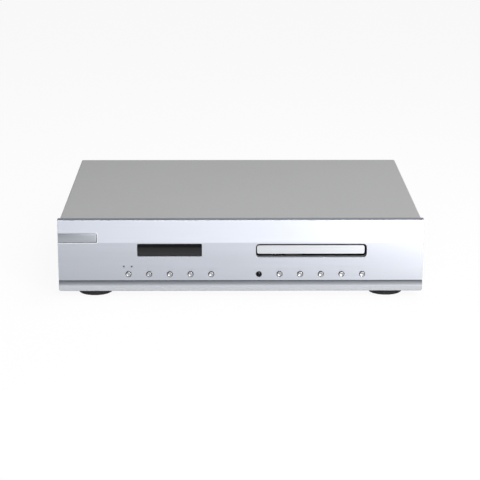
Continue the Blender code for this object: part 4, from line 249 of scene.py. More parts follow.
# painted shade for the buttons' rims, and the tilts between which it takes over
RIM_PAINTED_SHADE = (0.09, 0.093, 0.10)
RIM_TILT = (0.915, 0.955)
MASK = (0.018, 0.12, 0.045)
PADS = (0.55, 0.56, 0.54)
PAD_REACH = 0.13
MASK_THICKNESS = 0.0002
LID_LIMIT = 0.9
PARTS = (0.025, 0.028, 0.035)
CAN_TOPS = (0.42, 0.42, 0.43)
# how the display pane's painted shade falls off from its top
PANE_SHADE_FALL = 1.5


# Shader building

def shade(colour, factor):
    return tuple(min(part * factor, 1.0) for part in colour)


class Surface:
    """A material whose colour, roughness and relief come from its own nodes."""

    def __init__(self, name, **constants):
        self.material = bpy.data.materials.new(name)
        self.material.use_nodes = True
        self.tree = self.material.node_tree
        self.tree.nodes.clear()
        output = self.add("ShaderNodeOutputMaterial")
        self.shader = self.add("ShaderNodeBsdfPrincipled")
        self.tree.links.new(self.shader.outputs[0], output.inputs["Surface"])
        self.coords = self.add("ShaderNodeTexCoord").outputs["Object"]
        for socket, value in constants.items():
            self.shader.inputs[socket.replace("_", " ")].default_value = value

    def add(self, kind, **settings):
        node = self.tree.nodes.new(kind)
        for key, value in settings.items():
            setattr(node, key, value)
        return node

    def put(self, socket, value):
        """Link an output to a socket, or set a constant on it."""
        if isinstance(value, bpy.types.NodeSocket):
            self.tree.links.new(value, socket)
        elif isinstance(value, (tuple, list)) and len(value) == 3 and socket.type == "RGBA":
            socket.default_value = (*value, 1)
        else:
            socket.default_value = value

    def math(self, operation, first, second=0.0, third=None):
        node = self.add("ShaderNodeMath", operation=operation)
        self.put(node.inputs[0], first)
        self.put(node.inputs[1], second)
        if third is not None:
            self.put(node.inputs[2], third)
        return node.outputs[0]

    def times(self, first, second):
        return self.math("MULTIPLY", first, second)

    def less(self, first, second):
        return self.math("LESS_THAN", first, second)

    def more(self, first, second):
        return self.math("GREATER_THAN", first, second)

    def rest(self, value):
        """What a share leaves of one."""
        return self.math("SUBTRACT", 1.0, value)

    def split(self, vector):
        """A vector's parts, by their letters."""
        node = self.add("ShaderNodeSeparateXYZ")
        self.put(node.inputs[0], vector)
        return node.outputs

    def faced(self, output="Normal"):
        """The parts of the direction that a point of the surface faces."""
        return self.split(self.add("ShaderNodeNewGeometry").outputs[output])

    def scaled(self, scale):
        node = self.add("ShaderNodeMapping")
        self.put(node.inputs["Vector"], self.coords)
        node.inputs["Scale"].default_value = scale if isinstance(scale, tuple) else (scale,) * 3
        return node.outputs[0]

    def noise(self, scale, detail=3.0, rough=0.5):
        node = self.add("ShaderNodeTexNoise")
        self.put(node.inputs["Vector"], self.scaled(scale))
        node.inputs["Scale"].default_value = 1
        node.inputs["Detail"].default_value = detail
        node.inputs["Roughness"].default_value = rough
        return node.outputs[0]

    def cells(self, scale, output="Color"):
        node = self.add("ShaderNodeTexVoronoi")
        self.put(node.inputs["Vector"], self.scaled(scale))
        node.inputs["Scale"].default_value = 1
        return node.outputs[output]

    def spread(self, value, low, high, start=0.3, end=0.7):
        """Map a value, by default a noise, to a span."""
        node = self.add("ShaderNodeMapRange")
        self.put(node.inputs["Value"], value)
        node.inputs["From Min"].default_value = start
        node.inputs["From Max"].default_value = end
        node.inputs["To Min"].default_value = low
        node.inputs["To Max"].default_value = high
        return node.outputs[0]

    def mix(self, share, first, second):
        node = self.add("ShaderNodeMix", data_type="RGBA")
        self.put(node.inputs[0], share)
        self.put(node.inputs[6], first)
        self.put(node.inputs[7], second)
        return node.outputs[2]

    def varied(self, share, colour, dark, light):
        """A colour between two shades of itself."""
        return self.mix(share, shade(colour, dark), shade(colour, light))

    def streaked(self, share, strokes, colour):
        """The colour of drawn metal: fine strokes, with faint bands along them."""
        bands = self.noise(tuple(part / BAND_STRETCH for part in strokes), 2)
        base = self.varied(share, colour, 0.965, 1.035)
        return self.mix(self.spread(bands, 0, 0.25), base, shade(colour, 0.96))

    def edges(self, radius, gain=6.0):
        """How near a point is to a sharp edge, from 0 to 1."""
        plain = self.add("ShaderNodeNewGeometry")
        dot = self.add("ShaderNodeVectorMath", operation="DOT_PRODUCT")
        self.put(dot.inputs[0], self.rounded(radius))
        self.put(dot.inputs[1], plain.outputs["Normal"])
        bent = self.rest(dot.outputs["Value"])
        node = self.add("ShaderNodeMath", operation="MULTIPLY", use_clamp=True)
        self.put(node.inputs[0], bent)
        node.inputs[1].default_value = gain
        return node.outputs[0]

    def relief(self, height, distance, strength=0.5, under=None):
        node = self.add("ShaderNodeBump")
        node.inputs["Strength"].default_value = strength
        node.inputs["Distance"].default_value = distance
        self.put(node.inputs["Height"], height)
        if under is not None:
            self.put(node.inputs["Normal"], under)
        return node.outputs[0]

    def rounded(self, radius):
        """The normal as if sharp edges had a radius."""
        node = self.add("ShaderNodeBevel", samples=4)
        node.inputs["Radius"].default_value = radius
        return node.outputs[0]

    def tipped(self, normal, sweep):
        """A normal that looks further down by a sweep."""
        dip = self.add("ShaderNodeCombineXYZ")
        self.put(dip.inputs["Z"], self.times(sweep, -1.0))
        swept = self.add("ShaderNodeVectorMath", operation="ADD")
        self.put(swept.inputs[0], normal)
        self.put(swept.inputs[1], dip.outputs[0])
        level = self.add("ShaderNodeVectorMath", operation="NORMALIZE")
        self.put(level.inputs[0], swept.outputs[0])
        return level.outputs[0]

    def finish(self, colour, roughness, normal, tangent=None):
        self.put(self.shader.inputs["Base Color"], colour)
        self.put(self.shader.inputs["Roughness"], roughness)
        self.put(self.shader.inputs["Normal"], normal)
        if tangent:
            node = self.add("ShaderNodeTangent", direction_type="RADIAL", axis=tangent)
            self.put(self.shader.inputs["Tangent"], node.outputs[0])
        return self.material


# Finishes

def brushed(name, colour, roughness, strokes, tangent, anisotropic=0.7, edge=1.15):
    """Metal with fine strokes along one way."""
    surface = Surface(name, Metallic=1.0, Anisotropic=anisotropic)
    lines = surface.noise(strokes, 4, 0.6)
    base = surface.streaked(surface.spread(lines, 0, 1), strokes, colour)
    worn = surface.mix(surface.edges(WORN_EDGE), base, shade(colour, edge))
    normal = surface.relief(lines, STROKE_DEPTH, under=surface.rounded(STROKE_EDGE))
    return surface.finish(worn, surface.spread(lines, roughness - 0.04, roughness + 0.05),
                          normal, tangent)


def fascia(name, colour, roughness, anisotropic):
    """Aluminium brushed lengthwise, milled in its openings and satin at its foot, with painted
    shade on its lower face and in its groove.
    """
    surface = Surface(name, Anisotropic=anisotropic)
    low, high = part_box("front_panel")
    lines = surface.noise(STROKES, 4, 0.6)
    fine = surface.noise(FINE_STROKES, 2)
    place = surface.split(surface.coords)
    up = surface.math("SUBTRACT", place["Z"], low.z)

    # Parts of the panel: its top, its foot, its openings' walls and its lower face
    rim = surface.more(up, high.z - low.z - RIM_HEIGHT)
    foot = surface.less(up, GROOVE_TOP)
    body = surface.rest(surface.math("MAXIMUM", rim, foot))
    sideways = surface.less(surface.math("ABSOLUTE", surface.faced("True Normal")["Y"]),
                            WALL_LIMIT)
    within = surface.less(surface.math("ABSOLUTE", place["X"]), ENDS_X)
    milled = surface.times(surface.times(sideways, within), body)
    lower = surface.times(surface.less(up, BAND_HEIGHT), body)
    satin = surface.math("MAXIMUM", milled, foot)
    drawn = surface.rest(surface.math("MAXIMUM", satin, rim))

    grain = surface.times(surface.spread(lines, -0.5, 0.5),
                          surface.rest(surface.edges(WORN_EDGE)))
    base = surface.streaked(surface.math("ADD", grain, 0.5), STROKES, colour)
    # Painted shade: the lower face is darkened, standing in for the dimmer light it reflects
    base = surface.mix(surface.times(lower, LOWER_PAINTED_SHADE), base, (0, 0, 0))
    base = surface.mix(milled, base, surface.varied(surface.spread(fine, 0, 1), MILLED,
                                                    0.9, 1.1))
    # Painted shade in the groove: darkest under the face's lower edge, fading to the lip's tone
    # below; the fine noise adds random darker tone
    depth = surface.math("POWER", surface.spread(up, 1, 0, GROOVE_LOW, GROOVE_TOP),
                         GROOVE_SHADE_FALL)
    foot_with_painted_shade = surface.mix(surface.spread(fine, 0, 0.08), surface.mix(depth, GROOVE_PAINTED_SHADE, LIP),
                      (0, 0, 0))
    base = surface.mix(foot, base, foot_with_painted_shade)
    surface.put(surface.shader.inputs["Metallic"],
                surface.math("MULTIPLY_ADD", satin, SATIN_METAL - 1, 1.0))
    calm = surface.math("MULTIPLY_ADD", rim, RIM_GRAIN - 1, 1.0)
    rough = surface.math("MULTIPLY_ADD", surface.times(grain, calm), GRAIN_ROUGHNESS,
                         roughness)
    rough = surface.math("MULTIPLY_ADD", rim, RIM_ROUGHNESS - roughness, rough)

    # The lower face is swept back towards the groove, and the lip is rounded under
    sweep = surface.spread(up, *FACE_SWEEP, BAND_HEIGHT, GROOVE_TOP)
    sweep = surface.times(surface.times(sweep, lower), drawn)
    sweep = surface.math("MULTIPLY_ADD", surface.less(up, LIP_TOP), LIP_SWEEP, sweep)
    cuts = surface.times(fine, surface.rest(rim))
    normal = surface.relief(cuts, CUT_DEPTH, under=surface.rounded(SOFT_EDGE))
    return surface.finish(base, rough, surface.tipped(normal, sweep), "X")


def polished(name, colour, roughness, rim=None):
    """Turned metal, polished, with smears of handling wear and, if given, painted shade on its
    rim where it turns from the front.
    """
    surface = Surface(name, Metallic=1.0)
    smear = surface.noise(SMEAR_SCALE, 2)
    base = surface.varied(surface.spread(smear, 0, 1), colour, 0.96, 1.03)
    base = surface.mix(surface.edges(SOFT_EDGE), base, shade(colour, 1.1))
    if rim:
        # Painted shade: where the surface turns from the front, the rim takes a dark colour
        # standing in for its dark reflections
        tilt = surface.math("ABSOLUTE", surface.faced()["Y"])
        base = surface.mix(surface.spread(tilt, 0, 1, *RIM_TILT), rim, base)
    return surface.finish(base, surface.spread(smear, roughness - 0.03, roughness + 0.03),
                          surface.rounded(FINE_EDGE))


def moulded(name, colour, roughness, grain=MOULD_SCALE, depth=MOULD_DEPTH, edge=2.2,
            specular=0.5):
    """Moulded plastic with a fine eroded texture, lighter along its edges."""
    surface = Surface(name, Specular_IOR_Level=specular)
    fine = surface.noise(grain, 3)
    clouds = surface.noise(CLOUD_SCALE, 3)
    base = surface.varied(surface.spread(clouds, 0, 1), colour, 0.88, 1.12)
    base = surface.mix(surface.times(surface.edges(WORN_EDGE), 0.5), base,
                       shade(colour, edge))
    normal = surface.relief(fine, depth, under=surface.rounded(SOFT_EDGE))
    return surface.finish(base, surface.spread(fine, roughness - 0.05, roughness + 0.07),
                          normal)


def painted(name, colour, roughness, specular):
    """Textured paint on folded sheet."""
    surface = Surface(name, Specular_IOR_Level=specular)
    grain = surface.noise(PAINT_SCALE, 3, 0.6)
    flow = surface.noise(FLOW_SCALE, 2)
    base = surface.varied(surface.spread(grain, 0, 1), colour, 0.95, 1.05)
    base = surface.mix(surface.spread(surface.noise(SHEET_SCALE, 3), 0, 0.5), base,
                       shade(colour, 0.95))
    base = surface.mix(surface.times(surface.edges(PAINT_EDGE), 0.35), base,
                       shade(colour, 1.5))
    under = surface.relief(flow, FLOW_DEPTH, 0.3, surface.rounded(PAINT_EDGE))
    return surface.finish(base, surface.spread(flow, roughness - 0.05, roughness + 0.06),
                          surface.relief(grain, PAINT_DEPTH, under=under))


def plated(name, colour, roughness):
    """Zinc-plated sheet with a faint crystal pattern."""
    surface = Surface(name, Metallic=1.0)
    crystals = surface.math("ADD", surface.cells(CRYSTAL_SCALE), 0.0)
    fine = surface.noise(ZINC_SCALE, 3)
    base = surface.varied(surface.spread(crystals, 0, 1, 0.0, 1.0), colour, 0.93, 1.07)
    base = surface.mix(surface.edges(WORN_EDGE), base, shade(colour, 1.25))
    normal = surface.relief(fine, FINE_DEPTH, 0.4, surface.rounded(SOFT_EDGE))
    rough = surface.math("ADD", surface.spread(crystals, -0.05, 0.06, 0.0, 1.0),
                         surface.spread(fine, roughness - 0.03, roughness + 0.03))
    return surface.finish(base, rough, normal)


def glazed(surface, base, dust, roughness):
    """Finish smooth glass or acrylic with a hint of waviness and dust."""
    wave = surface.noise(WAVE_SCALE, 2)
    normal = surface.relief(wave, FINE_DEPTH, 0.15, surface.rounded(FINE_EDGE))
    return surface.finish(base, surface.spread(dust, roughness, roughness + 0.04), normal)


def glossy(name, colour, roughness, coat=0.0, specular=0.5):
    """Smooth moulded glass or acrylic."""
    surface = Surface(name, Coat_Weight=coat, Specular_IOR_Level=specular)
    dust = surface.noise(DUST_SCALE, 2)
    base = surface.varied(surface.spread(dust, 0, 1, *DUST_SPAN), colour, 1.0, 1.5)
    return glazed(surface, base, dust, roughness)


def pane(name, colour, unshaded_colour, roughness, specular):
    """Smoked acrylic with painted shade: darkest at its top, where the recess shades it, and
    paler towards its lower edge.
    """
    surface = Surface(name, Specular_IOR_Level=specular)
    low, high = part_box("display_window")
    up = surface.split(surface.coords)["Z"]
    dust = surface.noise(DUST_SCALE, 2)
    # Painted shade: the pane darkens from its lower edge up to its top
    out_of_painted_shade = surface.math("POWER", surface.spread(up, 1, 0, low.z, high.z), PANE_SHADE_FALL)
    base = surface.mix(surface.spread(dust, 0, 0.3, *DUST_SPAN),
                       surface.mix(out_of_painted_shade, colour, unshaded_colour), shade(unshaded_colour, 1.5))
    return glazed(surface, base, dust, roughness)


def circuit(name, colour, top):
    """Solder mask with tracks under it; what stands on it is plastic, cans and tin."""
    surface = Surface(name)
    tracks = surface.add("ShaderNodeTexBrick", offset=0.37, squash=0.7)
    for socket, value in (("Vector", surface.scaled(TRACK_SCALE)), ("Scale", 1),
                          ("Mortar Size", 0.018), ("Color1", colour),
                          ("Color2", shade(colour, 0.85)), ("Mortar", shade(colour, 2.4))):
        surface.put(tracks.inputs[socket], value)
    pads = surface.less(surface.cells(PAD_SCALE, "Distance"), PAD_REACH)
    base = surface.mix(pads, tracks.outputs["Color"], PADS)
    if top is not None:
        above = surface.more(surface.split(surface.coords)["Z"], top + MASK_THICKNESS)
        lid = surface.more(surface.faced()["Z"], LID_LIMIT)
        base = surface.mix(above, base, surface.mix(lid, PARTS, CAN_TOPS))
    fine = surface.noise(MASK_SCALE, 2)
    normal = surface.relief(fine, FINE_DEPTH, 0.4, surface.rounded(SOFT_EDGE))
    return surface.finish(base, surface.spread(fine, 0.32, 0.5), normal)


def wound(name, colour):
    """Polyester tape wound over the windings, with its overlaps."""
    surface = Surface(name)
    low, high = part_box("transformer")
    moved = surface.add("ShaderNodeVectorMath", operation="SUBTRACT")
    surface.put(moved.inputs[0], surface.coords)
    moved.inputs[1].default_value = (low + high) / 2
    place = surface.split(moved.outputs[0])
    angle = surface.math("ARCTAN2", place["Y"], place["X"])
    turns = surface.math("FRACT", surface.times(angle, TAPE_TURNS / (2 * pi)))
    step = surface.spread(turns, 0, 1, 0.0, 1.0)
    broad = surface.noise(TAPE_SCALE, 3)
    base = surface.varied(step, colour, 0.72, 1.15)
    base = surface.mix(surface.spread(broad, 0, 0.4), base, shade(colour, 0.6))
    return surface.finish(base, surface.spread(broad, 0.28, 0.45),
                          surface.relief(step, TAPE_DEPTH, 0.6))


def striped(name, colour):
    """Flat cable with its parallel wires."""
    surface = Surface(name)
    across = surface.split(surface.coords)["X"]
    wave = surface.math("SINE", surface.times(across, 2 * pi / WIRE_PITCH))
    broad = surface.noise(CABLE_SCALE, 2)
    base = surface.varied(surface.spread(wave, 0, 1, -1.0, 1.0), colour, 0.8, 1.0)
    base = surface.mix(surface.spread(broad, 0, 0.2), base, shade(colour, 0.7))
    return surface.finish(base, surface.spread(broad, 0.45, 0.6),
                          surface.relief(wave, WIRE_DEPTH, 0.7))


FINISHES = {
    "panel": fascia("panel_brushed", ALUMINIUM, 0.42, 0.8),
    "badge": brushed("badge_brushed", (0.370, 0.392, 0.425), 0.36, STROKES, "X", 0.5),
    "tray_front": brushed("tray_front_brushed", (0.452, 0.466, 0.492), 0.36, STROKES, "X", 0.7),
    "collar": polished("collar_turned", ALUMINIUM, 0.25),
    "bright_edge": polished("milled_edge", (0.78, 0.79, 0.82), 0.32),
    # painted shadow: black for the strip under the badge's lower and right edges
    "painted_shadow": moulded("painted_shadow_black", (0.03, 0.03, 0.033), 0.6, 1800.0, FINE_DEPTH, 1.2),
    "button": polished("button_polished", BRIGHT, 0.29, RIM_PAINTED_SHADE),
    "cover": painted("cover_paint", (0.425, 0.425, 0.428), 0.66, 0.14),
    "zinc": plated("zinc_sheet", (0.62, 0.63, 0.62), 0.40),
    "steel": brushed("steel_drawn", (0.60, 0.60, 0.61), 0.30, (900.0, 900.0, 60.0), "Z", 0.4),
    "black": moulded("black_moulded", (0.022, 0.022, 0.023), 0.46),
    "grey": moulded("grey_moulded", (0.16, 0.16, 0.17), 0.50, edge=1.3),
    "white": moulded("white_acetal", (0.74, 0.73, 0.69), 0.42, edge=1.08),
    # the window's top colour, and the paler colour its painted shade fades to at the lower edge
    "window": pane("window_smoked", (0.0008, 0.0008, 0.001), (0.021, 0.021, 0.0235), 0.12,
                   0.24),
    "tube": glossy("tube_dark", (0.0015, 0.0015, 0.002), 0.14, specular=0.40),
    "receiver": glossy("receiver_filter", (0.0015, 0.0015, 0.003), 0.07, specular=0.14),
    "lens": glossy("pickup_glass", (0.50, 0.58, 0.68), 0.03, 0.4),
    "amber": glossy("indicator_smoked", (0.045, 0.042, 0.040), 0.12, 0.2),
    "board": circuit("solder_mask", MASK, BOARD_TOP),
    "control": circuit("control_mask", MASK, None),
    "rubber": moulded("rubber_feet", (0.018, 0.018, 0.018), 0.78, 1400.0, RUBBER_DEPTH, 1.5,
                      0.25),
    "belt": moulded("rubber_belt", (0.012, 0.012, 0.012), 0.62, 2200.0, MOULD_DEPTH, 1.3, 0.3),
    "gold": brushed("gold_plated", (0.90, 0.66, 0.27), 0.20, (500.0, 60.0, 500.0), "Y", 0.2,
                    1.05),
    "core": wound("wound_tape", (0.50, 0.36, 0.09)),
    "ribbon": striped("flat_cable", (0.50, 0.52, 0.55)),
    "anodised": brushed("anodised_black", (0.03, 0.03, 0.032), 0.42, (200.0, 1200.0, 40.0),
                        "Z", 0.3, 2.0),
    "red": moulded("red_insulator", (0.42, 0.02, 0.02), 0.38, edge=1.2),
    "ivory": moulded("white_insulator", (0.70, 0.69, 0.66), 0.38, edge=1.1),
    "orange": moulded("orange_insulator", (0.55, 0.16, 0.02), 0.38, edge=1.2),
    "screw": brushed("screw_zinc", (0.56, 0.57, 0.58), 0.28, (700.0, 700.0, 700.0), "Z", 0.2),
    "black_screw": moulded("screw_black", (0.03, 0.03, 0.032), 0.35, 900.0, FINE_DEPTH, 3.0),
}

NODE_FINISH = {
    "panel": ["front_panel"],
    "badge": ["badge_plate"],
    "tray_front": ["tray_front"],
    "cover": ["top_cover"],
    "zinc": ["chassis_base", "rear_panel", "clamp_bridge"],
    "steel": ["guide_rod_left", "guide_rod_right", "spindle_motor", "sled_motor",
              "loader_motor", "transformer_clamp"],
    "black": ["disc_tray", "loader_frame", "turntable", "clamp_puck", "mains_inlet",
              "power_switch", "optical_socket", "motor_pulley"],
    "grey": ["traverse_frame", "pickup_sled", "power_rocker"],
    "white": ["tray_gear", "pulley_gear", "sled_gear", "sled_motor_pinion", "lift_slider"],
    "window": ["display_window"],
    "tube": ["display_tube"],
    "receiver": ["receiver_lens"],
    "lens": ["pickup_lens"],
    "amber": ["indicator_left", "indicator_right"],
    "board": ["main_board", "power_board"],
    "control": ["control_board"],
    "rubber": ["foot_front_left", "foot_front_right", "foot_rear_left", "foot_rear_right"],
    "belt": ["drive_belt"],
    "gold": ["output_socket_left", "output_socket_right", "digital_socket"],
    "core": ["transformer"],
    "ribbon": ["ribbon_cable"],
    "anodised": ["heat_sink"],
    "button": [f"button_{number}" for number in BUTTON_NUMBERS],
}

for finish, names in NODE_FINISH.items():
    for name in names:
        slots = NODES[name].data.materials
        slots.clear()
        slots.append(FINISHES[finish])


# Piece building

def mesh_of(name, shape):
    """Turn a bmesh into a mesh."""
    mesh = bpy.data.meshes.new(name)
    shape.to_mesh(mesh)
    shape.free()
    return mesh


def linked(name, data):
    """Put a new object of some data into the scene."""
    made = bpy.data.objects.new(name, data)
    bpy.context.scene.collection.objects.link(made)
    return made


def piece(name, shape, finish, body, smooth_degrees=32):
    """Make an object of a bmesh, finish it and let it ride on a body."""
    bmesh.ops.recalc_face_normals(shape, faces=shape.faces)
    mesh = mesh_of(name, shape)
    mesh.shade_smooth()
    mesh.set_sharp_from_angle(angle=radians(smooth_degrees))
    made = linked(name, mesh)
    mesh.materials.append(FINISHES[finish])
    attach(made, body)
    return made


def add_to(shape, part):
    """Move one bmesh into another."""
    spare = mesh_of("spare", part)
    shape.from_mesh(spare)
    bpy.data.meshes.remove(spare)


def stand(shape, place, direction):
    """Move a bmesh from the origin to a place and point its +Z along a direction."""
    turn = Vector(direction).to_track_quat("Z", "Y").to_matrix().to_4x4()
    shape.transform(Matrix.Translation(place) @ turn)


def soften(shape, edges, width):
    """Round some edges of a bmesh."""
    bmesh.ops.bevel(shape, geom=edges, offset=width, segments=2, affect="EDGES", profile=0.6)


def middle_of(name):
    low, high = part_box(name)
    return (low + high) / 2


def corner_points(across, up, radius, start):
    """Points of a quarter turn from a start angle, in degrees."""
    points = []
    for step in range(CORNER_STEPS + 1):
        angle = radians(start + 90 * step / CORNER_STEPS)
        points.append((across + radius * cos(angle), up + radius * sin(angle)))
    return points


def lathe(shape, profile, sides=SIDES, closed=False):
    """Add a turned solid about +Z to a bmesh, from (radius, height) points."""
    rings = []
    for radius, height in profile:
        if radius == 0:
            rings.append([shape.verts.new((0, 0, height))])
            continue
        ring = []
        for step in range(sides):
            angle = 2 * pi * step / sides
            ring.append(shape.verts.new((radius * cos(angle), radius * sin(angle), height)))
        rings.append(ring)
    pairs = list(zip(rings, rings[1:]))
    if closed:
        pairs.append((rings[-1], rings[0]))
    for first, second in pairs:
        for step in range(sides):
            after = (step + 1) % sides
            corners = [first[step % len(first)], first[after % len(first)],
                       second[after % len(second)], second[step % len(second)]]
            unique = list(dict.fromkeys(corners))
            if len(unique) > 2:
                shape.faces.new(unique)


def dome_profile(radius, base, rise, steps=7):
    """Points of a shallow dome from its rim up to its middle."""
    points = []
    for step in range(steps, -1, -1):
        share = step / steps
        points.append((radius * share, base + rise * (1 - share * share)))
    return points


def rounded_box(shape, low, high, bevel):
    """Add a box with bevelled edges to a bmesh."""
    part = bmesh.new()
    size = [far - near for near, far in zip(low, high)]
    middle = [(far + near) / 2 for near, far in zip(low, high)]
    bmesh.ops.create_cube(part, size=1,
                          matrix=Matrix.Translation(middle) @ Matrix.Diagonal((*size, 1)))
    soften(part, list(part.edges), bevel)
    add_to(shape, part)


def make_ring(name, place, radii, finish="collar"):
    """A thin collar with a countersunk mouth, flush with the face, round a hole."""
    inner, outer = radii
    near, far = MOUTH_HEIGHTS
    shape = bmesh.new()
    lathe(shape, [(inner, -COLLAR_DEPTH), (inner, -MOUTH_DEPTH), (outer - MOUTH_EDGE, near),
                  (outer, far), (outer, -COLLAR_DEPTH)], closed=True)
    stand(shape, place, (0, -1, 0))
    return piece(name, shape, finish, "casework", 40)


def screw_shape(shape, radius, height, place, direction):
    """A pan-head screw with a cross recess, standing on a place."""
    head = bmesh.new()
    rim = [(0, 0), (radius, 0)]
    for step in range(1, HEAD_STEPS + 1):
        turn = pi / 2 * step / HEAD_STEPS
        rim.append((radius * (1 - CROWN_SHARE + CROWN_SHARE * cos(turn)),
                    height * (WALL_SHARE + (1 - WALL_SHARE) * sin(turn))))
    lathe(head, rim, FEW_SIDES)
    top = [vert for vert in head.verts if abs(vert.co.z - height) < 1e-7]
    top.sort(key=lambda vert: vert.co.xy.angle_signed(Vector((1, 0))))
    arm, half = radius * ARM_SHARE, radius * ARM_HALF_SHARE
    cross = [(arm, -half), (arm, half), (half, half), (half, arm), (-half, arm), (-half, half),
             (-arm, half), (-arm, -half), (-half, -half), (-half, -arm), (half, -arm),
             (half, -half)]
    upper = [head.verts.new((x, y, height)) for x, y in cross]
    lower = [head.verts.new((x * RECESS_SHARE, y * RECESS_SHARE, height * WALL_SHARE))
             for x, y in cross]
    rings = []
    for loop in (upper, lower):
        for first, second in zip(loop, loop[1:] + loop[:1]):
            rings.append(head.edges.new((first, second)))
    for index in range(len(cross)):
        after = (index + 1) % len(cross)
        head.faces.new((upper[index], upper[after], lower[after], lower[index]))
    head.faces.new(lower)
    outer = [edge for edge in head.edges if edge.verts[0] in top and edge.verts[1] in top]
    bmesh.ops.triangle_fill(head, edges=outer + rings[:len(cross)], use_beauty=True)
    stand(head, place, direction)
    add_to(shape, head)


def make_screws(name, places, direction, head, finish):
    shape = bmesh.new()
    for place in places:
        screw_shape(shape, *head, place, direction)
    return piece(name, shape, finish, "casework")


# Front details

def make_button(number):
    """A turned and polished button with a soft rim and a dished face, in its collar."""
    name = f"button_{number}"
    middle = middle_of(name)
    low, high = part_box(name)
    tip = -low.y
    profile = [(0, -high.y), (STEM_RADIUS, -high.y), (STEM_RADIUS, -FACE_Y - FLANGE_DEPTH),
               (BUTTON_RADIUS, -FACE_Y - FLANGE_DEPTH), (BUTTON_RADIUS, tip - BUTTON_RIM)]
    for step in range(1, ROUNDING_STEPS + 1):
        turn = pi / 2 * step / ROUNDING_STEPS
        profile.append((BUTTON_RADIUS - BUTTON_RIM * (1 - cos(turn)),
                        tip - BUTTON_RIM * (1 - sin(turn))))
    profile += dome_profile(BUTTON_RADIUS - BUTTON_RIM, tip, -BUTTON_DISH)[1:]
    shape = bmesh.new()
    lathe(shape, profile)
    stand(shape, (middle.x, 0, middle.z), (0, -1, 0))
    made = piece(f"turned_{name}", shape, "button", name, 40)
    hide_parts(name)


def make_receiver():
    """The receiver's glossy dome over its plain solid, in a dark collar."""
    middle = middle_of("receiver_lens")
    low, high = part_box("receiver_lens")
    shoulder = -low.y - RECEIVER_DOME
    shape = bmesh.new()
    profile = [(0, -high.y), (RECEIVER_RADIUS, -high.y), (RECEIVER_RADIUS, shoulder)]
    profile += dome_profile(RECEIVER_RADIUS, shoulder, RECEIVER_DOME)[1:]
    lathe(shape, profile)
    stand(shape, (middle.x, 0, middle.z), (0, -1, 0))
    made = piece("receiver_dome", shape, "receiver", "casework", 50)
    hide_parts("receiver_lens")
    make_ring("receiver_ring", (middle.x, FACE_Y + COLLAR_FACE, middle.z),
              RECEIVER_COLLAR_RADII, "receiver")


def make_display_glass():
    """The smoked window as a slightly crowned pane in its opening."""
    low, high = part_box("display_window")
    left, right = PANE_X
    bottom, top = (FOOT_TOP + up for up in PANE_UP)
    half = (top - bottom) / 2
    shape = bmesh.new()
    front = []
    for row in range(PANE_ROWS + 1):
        share = -cos(pi * row / PANE_ROWS)
        up = (top + bottom) / 2 + half * share
        near_end = PANE_CORNER - (half - abs(half * share))
        pull = 0
        if near_end > 0:
            pull = PANE_CORNER - max(PANE_CORNER ** 2 - near_end ** 2, 0) ** 0.5
        depth = FACE_Y + PANE_EDGE - PANE_CROWN * (1 - share * share)
        width = right - left - 2 * pull
        front.append([shape.verts.new((left + pull + width * column / PANE_COLUMNS, depth, up))
                      for column in range(PANE_COLUMNS + 1)])
    back = [[shape.verts.new((vert.co.x, FACE_Y + PANE_BACK, vert.co.z)) for vert in line]
            for line in front]
    for layer, flip in ((front, False), (back, True)):
        for first, second in zip(layer, layer[1:]):
            for column in range(PANE_COLUMNS):
                corners = [first[column], first[column + 1], second[column + 1],
                           second[column]]
                shape.faces.new(corners[::-1] if flip else corners)
    rim = ([(0, column) for column in range(PANE_COLUMNS)]
           + [(row, PANE_COLUMNS) for row in range(PANE_ROWS)]
           + [(PANE_ROWS, column) for column in range(PANE_COLUMNS, 0, -1)]
           + [(row, 0) for row in range(PANE_ROWS, 0, -1)])
    for (row, column), (next_row, next_column) in zip(rim, rim[1:] + rim[:1]):
        shape.faces.new((front[row][column], front[next_row][next_column],
                         back[next_row][next_column], back[row][column]))
    rounded_box(shape, (low.x, FACE_Y + FLANGE_FACE, low.z), tuple(high), FLANGE_BEVEL)
    made = piece("display_glass", shape, "window", "casework", 40)
    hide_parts("display_window")


def pocket_path(offset):
    """The lower and right edge of the badge's pocket, moved outwards, seen from the front."""
    low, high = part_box("badge_plate")
    middle = high.x + SEAT_GAP - BADGE_CORNER
    bottom, top = low.z - SEAT_GAP, high.z + SEAT_GAP
    reach = BADGE_CORNER + offset
    points = [(low.x, bottom - offset)]
    points += corner_points(middle, bottom + BADGE_CORNER, reach, -90)
    points += corner_points(middle, top - BADGE_CORNER, reach, 0)
    return points


def make_pocket_strip(name, inner, outer, front, finish):
    """A strip along the lower and right edge of the badge's pocket, with a crowned face."""
    shape = bmesh.new()
    sections = [(inner, STRIP_BACK), (inner, front + STRIP_CROWN), ((inner + outer) / 2, front),
                (outer, front + STRIP_CROWN), (outer, STRIP_BACK)]
    rows = [[shape.verts.new((across, FACE_Y + depth, up)) for across, up in pocket_path(offset)]
            for offset, depth in sections]
    for first, second in zip(rows, rows[1:] + rows[:1]):
        for index in range(len(first) - 1):
            shape.faces.new((first[index], first[index + 1], second[index + 1], second[index]))
    for end in (0, -1):
        shape.faces.new([row[end] for row in rows])
    return piece(name, shape, finish, "casework", 50)


